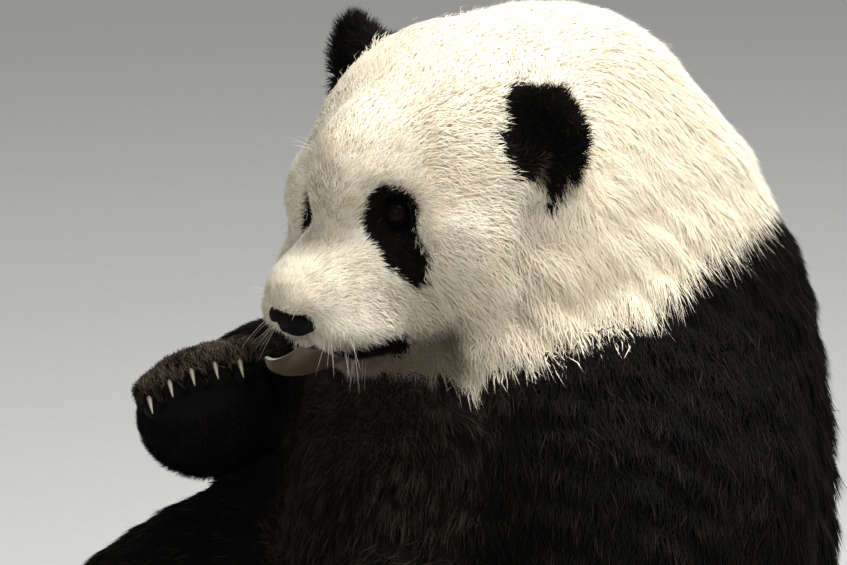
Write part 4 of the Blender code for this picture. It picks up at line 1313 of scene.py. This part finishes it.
# %% [markdown]
# ## Nose pad
# The nose is a bare pad with two comma-shaped nostrils and a groove between them.  It is a flattened
# ball in axes of its own, pressed in where the nostrils are: a formula moves each point back by
# the sum of soft pits.

# %% Nose
NOSE_ROWS, NOSE_COLUMNS = 72, 96
NOSE_TAPER = 0.22  # how much narrower the pad is at its foot
NOSTRIL = 0.0105  # from the middle line
PIT_DEPTH, SLIT_DEPTH, GROOVE_DEPTH, WING_RISE = 0.0080, 0.0045, 0.0014, 0.0008
NOSE_LEATHER = (0.003, 0.0028, 0.0028), (0.011, 0.0095, 0.009)


def squared(values, power):
    """Values from -1 to 1 with square shoulders: the sign times a power of the size."""
    return np.sign(values) * np.abs(values) ** power


def nose_pad():
    """Flattened ball with square shoulders; pits exp(-d^2) where d is the distance from a nostril's
    place in units of its size, and a groove down the middle line."""
    angle, turn = ball_angles(NOSE_ROWS), around(NOSE_COLUMNS)
    ring = np.sin(angle) ** 0.8
    x, y, z = ring * squared(np.cos(turn), 0.85), ring * squared(np.sin(turn), 0.85), np.cos(angle) + 0 * turn
    x = x * (1 - NOSE_TAPER * smoothstep(0.0, 1.0, -y))
    front = smoothstep(0.0, 0.4, z)
    x, y, z = np.stack([x, y, z]) * np.reshape(NOSE_HALF, (3, 1, 1))
    away = np.abs(x)
    z = z - front * (PIT_DEPTH * bell(away - NOSTRIL, 0.0042) * bell(y + 0.0005, 0.0036)
                     + SLIT_DEPTH * bell(away - 0.0165, 0.0045) * bell(y + 0.0045, 0.0016)
                     + GROOVE_DEPTH * bell(away, 0.0012) * smoothstep(0.004, -0.004, y)
                     - WING_RISE * bell(away - NOSTRIL, 0.008))
    return tubes("nose_pad", [np.stack([x, y, z], axis=-1) @ NOSE_AXES + NOSE_CENTRE])


def nose_material():
    """Pebbled bare skin: cells raised by a bump, lighter on their tops."""
    board = Board("nose leather")
    raised, slow = board.ramp(board.cells(900.0, "DISTANCE_TO_EDGE"), 0.0, 0.35), board.noise(120.0, 3.0)
    return board.finish(board.mix((raised * 0.6 + slow * 0.4).clamp(), *NOSE_LEATHER), 0.50 + slow * 0.25,
                        Specular_IOR_Level=0.06, Normal=board.bump(raised, 0.5, 0.0004))


dress(nose_pad(), nose_material(), "nose", "nose")
print("nose at", np.round(NOSE_CENTRE, 4))

# %% [markdown]
# ## Tongue
# The tongue is carried along a path through a few stations in the middle plane of the head.  Its section is
# a flat oval whose edges rise into a shallow trough, with a groove down the middle of its back.

# %% Tongue
# forward, up, half width, half thickness
TONGUE = np.array([
    (0.080, -0.196, 0.0205, 0.0058), (0.108, -0.203, 0.0215, 0.0058), (0.132, -0.207, 0.0205, 0.0055),
    (0.154, -0.206, 0.0175, 0.0046), (0.171, -0.200, 0.0115, 0.0032), (0.181, -0.192, 0.0038, 0.0018)])
TONGUE_ROWS, TONGUE_COLUMNS = 40, 40
TONGUE_TROUGH, TONGUE_ROLL = 0.013, 0.009  # rise of both edges, and of the left one over the right
TONGUE_GROOVE, GROOVE_WIDTH = 0.25, 0.12
# the underside is darkened as painted shade; the back is paler, partly for its rough papillae and partly as
# painted light from above
TONGUE_BELOW = (0.058, 0.039, 0.022), (0.104, 0.072, 0.041)
TONGUE_ABOVE = (0.34, 0.30, 0.23), (0.52, 0.47, 0.38)


def smooth_path(stations, count):
    """Stations joined by Catmull-Rom curves and read at evenly spaced shares of the way."""
    place = np.linspace(0, len(stations) - 1, count)
    i = np.minimum(place.astype(int), len(stations) - 2)
    t = (place - i)[:, None]
    p0, p1 = stations[np.maximum(i - 1, 0)], stations[i]
    p2, p3 = stations[i + 1], stations[np.minimum(i + 2, len(stations) - 1)]
    return 0.5 * (2 * p1 + (p2 - p0) * t + (2 * p0 - 5 * p1 + 4 * p2 - p3) * t ** 2
                  + (3 * p1 - p0 - 3 * p2 + p3) * t ** 3)


def tongue():
    """Rows along the path, columns round the oval."""
    forward, up, half, thick = smooth_path(TONGUE, TONGUE_ROWS).T[:, :, None]
    slope = np.arctan2(np.gradient(up[:, 0]), np.gradient(forward[:, 0]))[:, None]
    share, rise = np.cos(around(TONGUE_COLUMNS)), np.sin(around(TONGUE_COLUMNS))
    high = thick * rise * (1 - TONGUE_GROOVE * bell(share, GROOVE_WIDTH) * (rise > 0))
    tip_ease = smoothstep(0.0, 0.25, 1 - np.linspace(0, 1, TONGUE_ROWS)[:, None])
    high = high + (TONGUE_TROUGH * share ** 2 + TONGUE_ROLL * share) * tip_ease
    obj = tubes("tongue_flesh", [from_head(np.stack([forward - high * np.sin(slope), half * share,
                                                     up + high * np.cos(slope)], axis=-1))])
    write_attribute(obj, "back", [*np.tile(rise[0], TONGUE_ROWS), 0.0, 1.0])
    return obj


def tongue_material():
    """Moist brown below, darkened as painted shade, and paler, rough and with small bumps on its back, the
    paler colour partly painted light from above.
    """
    board = Board("tongue flesh")
    bumps, slow = board.cells(1300.0), board.noise(90.0, 4.0, 0.6)
    colour = board.mix(board.ramp(board.attribute("back"), -0.1, 0.5),
                       board.mix(slow, *TONGUE_BELOW), board.mix(slow, *TONGUE_ABOVE))
    return board.finish(colour, 0.30 + slow * 0.2, Coat_Weight=0.15, Coat_Roughness=0.2,
                        Subsurface_Weight=0.15, Subsurface_Scale=0.004,
                        Normal=board.bump(bumps, 0.35, 0.0005))


tongue_piece = dress(tongue(), tongue_material(), "tongue", "tongue")
print("tongue points:", len(tongue_piece.data.vertices))

# %% [markdown]
# ## Claws
# Each claw is a curved cone, deeper than it is wide, whose angle grows along its length.  The five of a
# paw are one piece that stands for its five plain nodes.

# %% Claws
CLAW_ROWS, CLAW_COLUMNS = 14, 14
CLAW_LENGTH, CLAW_ROOT, CLAW_FLATNESS, CLAW_TAPER = 0.0100, 0.0038, 0.60, 0.86
CLAW_HOOK = math.radians(28)
CLAW_BEDDING = 0.6  # how far out in the toe it starts, as a share of the toe's radius
CLAW_FLAT_BACK = 0.25
HORN = (0.11, 0.085, 0.055), (0.44, 0.39, 0.29)


def claw_grid(paw, toe):
    """Sections along an arc from inside the toe: the radius falls as 1 - taper t^1.6."""
    t = np.linspace(0, 1, CLAW_ROWS)[:, None]
    angle = math.radians(paw["fold"]) + CLAW_HOOK * t
    reach = TOE_RADIUS * CLAW_BEDDING + (CLAW_LENGTH + TOE_RADIUS * (1 - CLAW_BEDDING)) * t
    side, up = np.cos(around(CLAW_COLUMNS)), np.sin(around(CLAW_COLUMNS))
    radius = CLAW_ROOT * (1 - CLAW_TAPER * t ** 1.6)
    rise = radius * up * (1 - CLAW_FLAT_BACK * (up > 0))
    local = np.stack([radius * CLAW_FLATNESS * side, reach * np.cos(angle) - rise * np.sin(angle),
                      reach * np.sin(angle) + rise * np.cos(angle)], axis=-1)
    return from_paw(local + toe, paw)


def claws(name, paw):
    """The five claws of a paw in one mesh."""
    obj = tubes(name, [claw_grid(paw, toe) for toe in toe_places(paw)])
    along = [*np.repeat(np.linspace(0, 1, CLAW_ROWS), CLAW_COLUMNS), 0.0, 1.0]
    write_attribute(obj, "along", np.tile(along, TOES))
    return obj


def claw_material():
    """Horn: brown at the root, pale toward the worn tip, with streaks along it."""
    board = Board("claw horn")
    along, streaks = board.attribute("along"), board.noise(600.0, 3.0, 0.6)
    return board.finish(board.mix((along * 1.2 + streaks * 0.4 - 0.3).clamp(), *HORN), 0.38 + streaks * 0.2,
                        Normal=board.bump(streaks, 0.25, 0.0004))


CLAW = claw_material()
for key, paw in PAWS.items():
    dress(claws("claws_" + key, paw), CLAW, "claw", *["claw_%s_%d" % (key, toe + 1) for toe in range(TOES)])
print("claws on", len(PAWS), "paws")

# %% [markdown]
# ## Whiskers
# A few long stiff hairs stand on the lips, the chin and over the eyes.  Each is a thin tapering tube of three
# sides that droops along its length.

# %% Whiskers
WHISKER_ROWS = 6
WHISKER_RADIUS, WHISKER_TAPER, WHISKER_DROOP = 0.00022, 0.85, 0.22
WHISKER_HAIR = (0.55, 0.48, 0.38), (0.85, 0.80, 0.70)
# middle of a group, spread, direction, number, length
WHISKERS = (
    ((0.140, 0.036, -0.170), (0.012, 0.006, 0.008), (0.30, 0.60, -0.65), 10, 0.026),
    ((0.112, 0.030, -0.208), (0.012, 0.012, 0.003), (0.25, 0.45, -0.85), 8, 0.022),
    ((0.120, 0.040, -0.040), (0.006, 0.008, 0.006), (0.70, 0.35, 0.60), 5, 0.030),
    ((0.168, 0.015, -0.145), (0.004, 0.008, 0.004), (0.90, 0.25, 0.05), 5, 0.016),
)


def whisker(draw, middle, spread, direction, length):
    """A root drawn near a group's middle and dropped onto the skin; points run out by length * t, and
    down by a fifth of that times t squared."""
    _, root, normal, _ = skin.closest_point_on_mesh(from_head(middle + draw.normal(0, 1, 3) * spread))
    run = unit(unit(direction @ HEAD_AXES) + draw.normal(0, 0.16, 3))
    run = unit(run + 0.3 * np.array(normal))
    far = length * draw.uniform(0.6, 1.2)
    side = unit(np.cross(run, (0, 0, 1.0)))
    turn = around(3).T
    ring = side * np.cos(turn) + np.cross(run, side) * np.sin(turn)
    t = np.linspace(0, 1, WHISKER_ROWS)[:, None, None]
    grid = np.array(root) + run * far * t + ring[None] * (WHISKER_RADIUS * (1 - WHISKER_TAPER * t))
    grid[..., 2] -= WHISKER_DROOP * far * t[..., 0] ** 2
    return grid


def whisker_material():
    """Pale horny hair in soft bands."""
    board = Board("whisker hair")
    bands = board.noise(300.0, 2.0)
    return board.finish(board.mix(bands, *WHISKER_HAIR), 0.35 + bands * 0.15)


draw = np.random.default_rng(41)
hairs = []
for middle, spread, direction, count, length in WHISKERS:
    for side in (1, -1):
        flip = np.array([1, side, 1])
        hairs += [whisker(draw, middle * flip, spread * flip * 0.6, direction * flip, length)
                  for _ in range(count)]
dress(tubes("whiskers", hairs), whisker_material(), "white_coat")
print("whiskers:", len(hairs))

# %% [markdown]
# ## Floor, light and camera
# A plain pale floor, a wide soft light high overhead, a little behind the animal and to its left, as on a
# bright day, and a weak fill from the camera's side.  The camera is far off with a long lens, and looks
# down a little at the chest.

# %% Stage
STAGE_TARGET = (0.0, 0.0, 0.45)
SKY_PLACE, SKY_SIZE, SKY_POWER = (0.8, 0.75, 3.1), 2.4, 178.0
FILL_PLACE, FILL_SIZE, FILL_POWER = (2.6, -2.2, 1.4), 2.2, 14.0
WORLD_GREY, WORLD_STRENGTH = 0.86, 0.37
FLOOR_TONES = (0.50, 0.50, 0.49), (0.54, 0.54, 0.53)
CAMERA_TARGET = np.array([-0.041, -0.113, 0.465]) + SLIDE
CAMERA_AZIMUTH, CAMERA_ELEVATION = math.radians(70), math.radians(12)
CAMERA_DISTANCE, CAMERA_LENS = 6.0, 318.8


def floor():
    """A flat sheet of 40 m at height 0."""
    x, y = np.meshgrid([-20.0, 20.0], [-20.0, 20.0])
    obj = make_mesh("floor", np.stack([x, y, 0 * x], axis=-1).reshape(-1, 3), np.array([[0, 1, 3, 2]]))
    board = Board("pale floor")
    obj.data.materials.append(board.finish(board.mix(board.noise(60.0, 2.0), *FLOOR_TONES), 0.8))


def aim_at(obj, place, target):
    """Stands an object at a place, its -Z toward the target and its Y up."""
    back = unit(np.array(place) - np.array(target))
    side = unit(np.cross((0, 0, 1.0), back))
    turned = np.eye(4)
    turned[:3] = np.stack([side, np.cross(back, side), back, place], axis=1)
    obj.matrix_world = Matrix(turned.tolist())


def area_light(name, place, size, power):
    """A square light that faces the animal."""
    lamp = bpy.data.lights.new(name, "AREA")
    lamp.shape = "SQUARE"
    lamp.size = size
    lamp.energy = power
    aim_at(new_object(name, lamp), place, STAGE_TARGET)


floor()
area_light("sky", SKY_PLACE, SKY_SIZE, SKY_POWER)
area_light("fill", FILL_PLACE, FILL_SIZE, FILL_POWER)
world = bpy.data.worlds.new("studio")
bpy.context.scene.world = world
world.use_nodes = True
background = world.node_tree.nodes["Background"]
background.inputs["Color"].default_value = (WORLD_GREY, WORLD_GREY, WORLD_GREY, 1.0)
background.inputs["Strength"].default_value = WORLD_STRENGTH
camera = new_object("camera", bpy.data.cameras.new("camera"))
camera.data.lens = CAMERA_LENS
camera.data.clip_end = 100.0
offset = np.array([math.sin(CAMERA_AZIMUTH) * math.cos(CAMERA_ELEVATION),
                   -math.cos(CAMERA_AZIMUTH) * math.cos(CAMERA_ELEVATION), math.sin(CAMERA_ELEVATION)])
aim_at(camera, CAMERA_TARGET + CAMERA_DISTANCE * offset, CAMERA_TARGET)
bpy.context.scene.camera = camera
bpy.context.scene.view_settings.view_transform = "Standard"
print("camera ready")

# %% The end
bpy.context.view_layer.update()
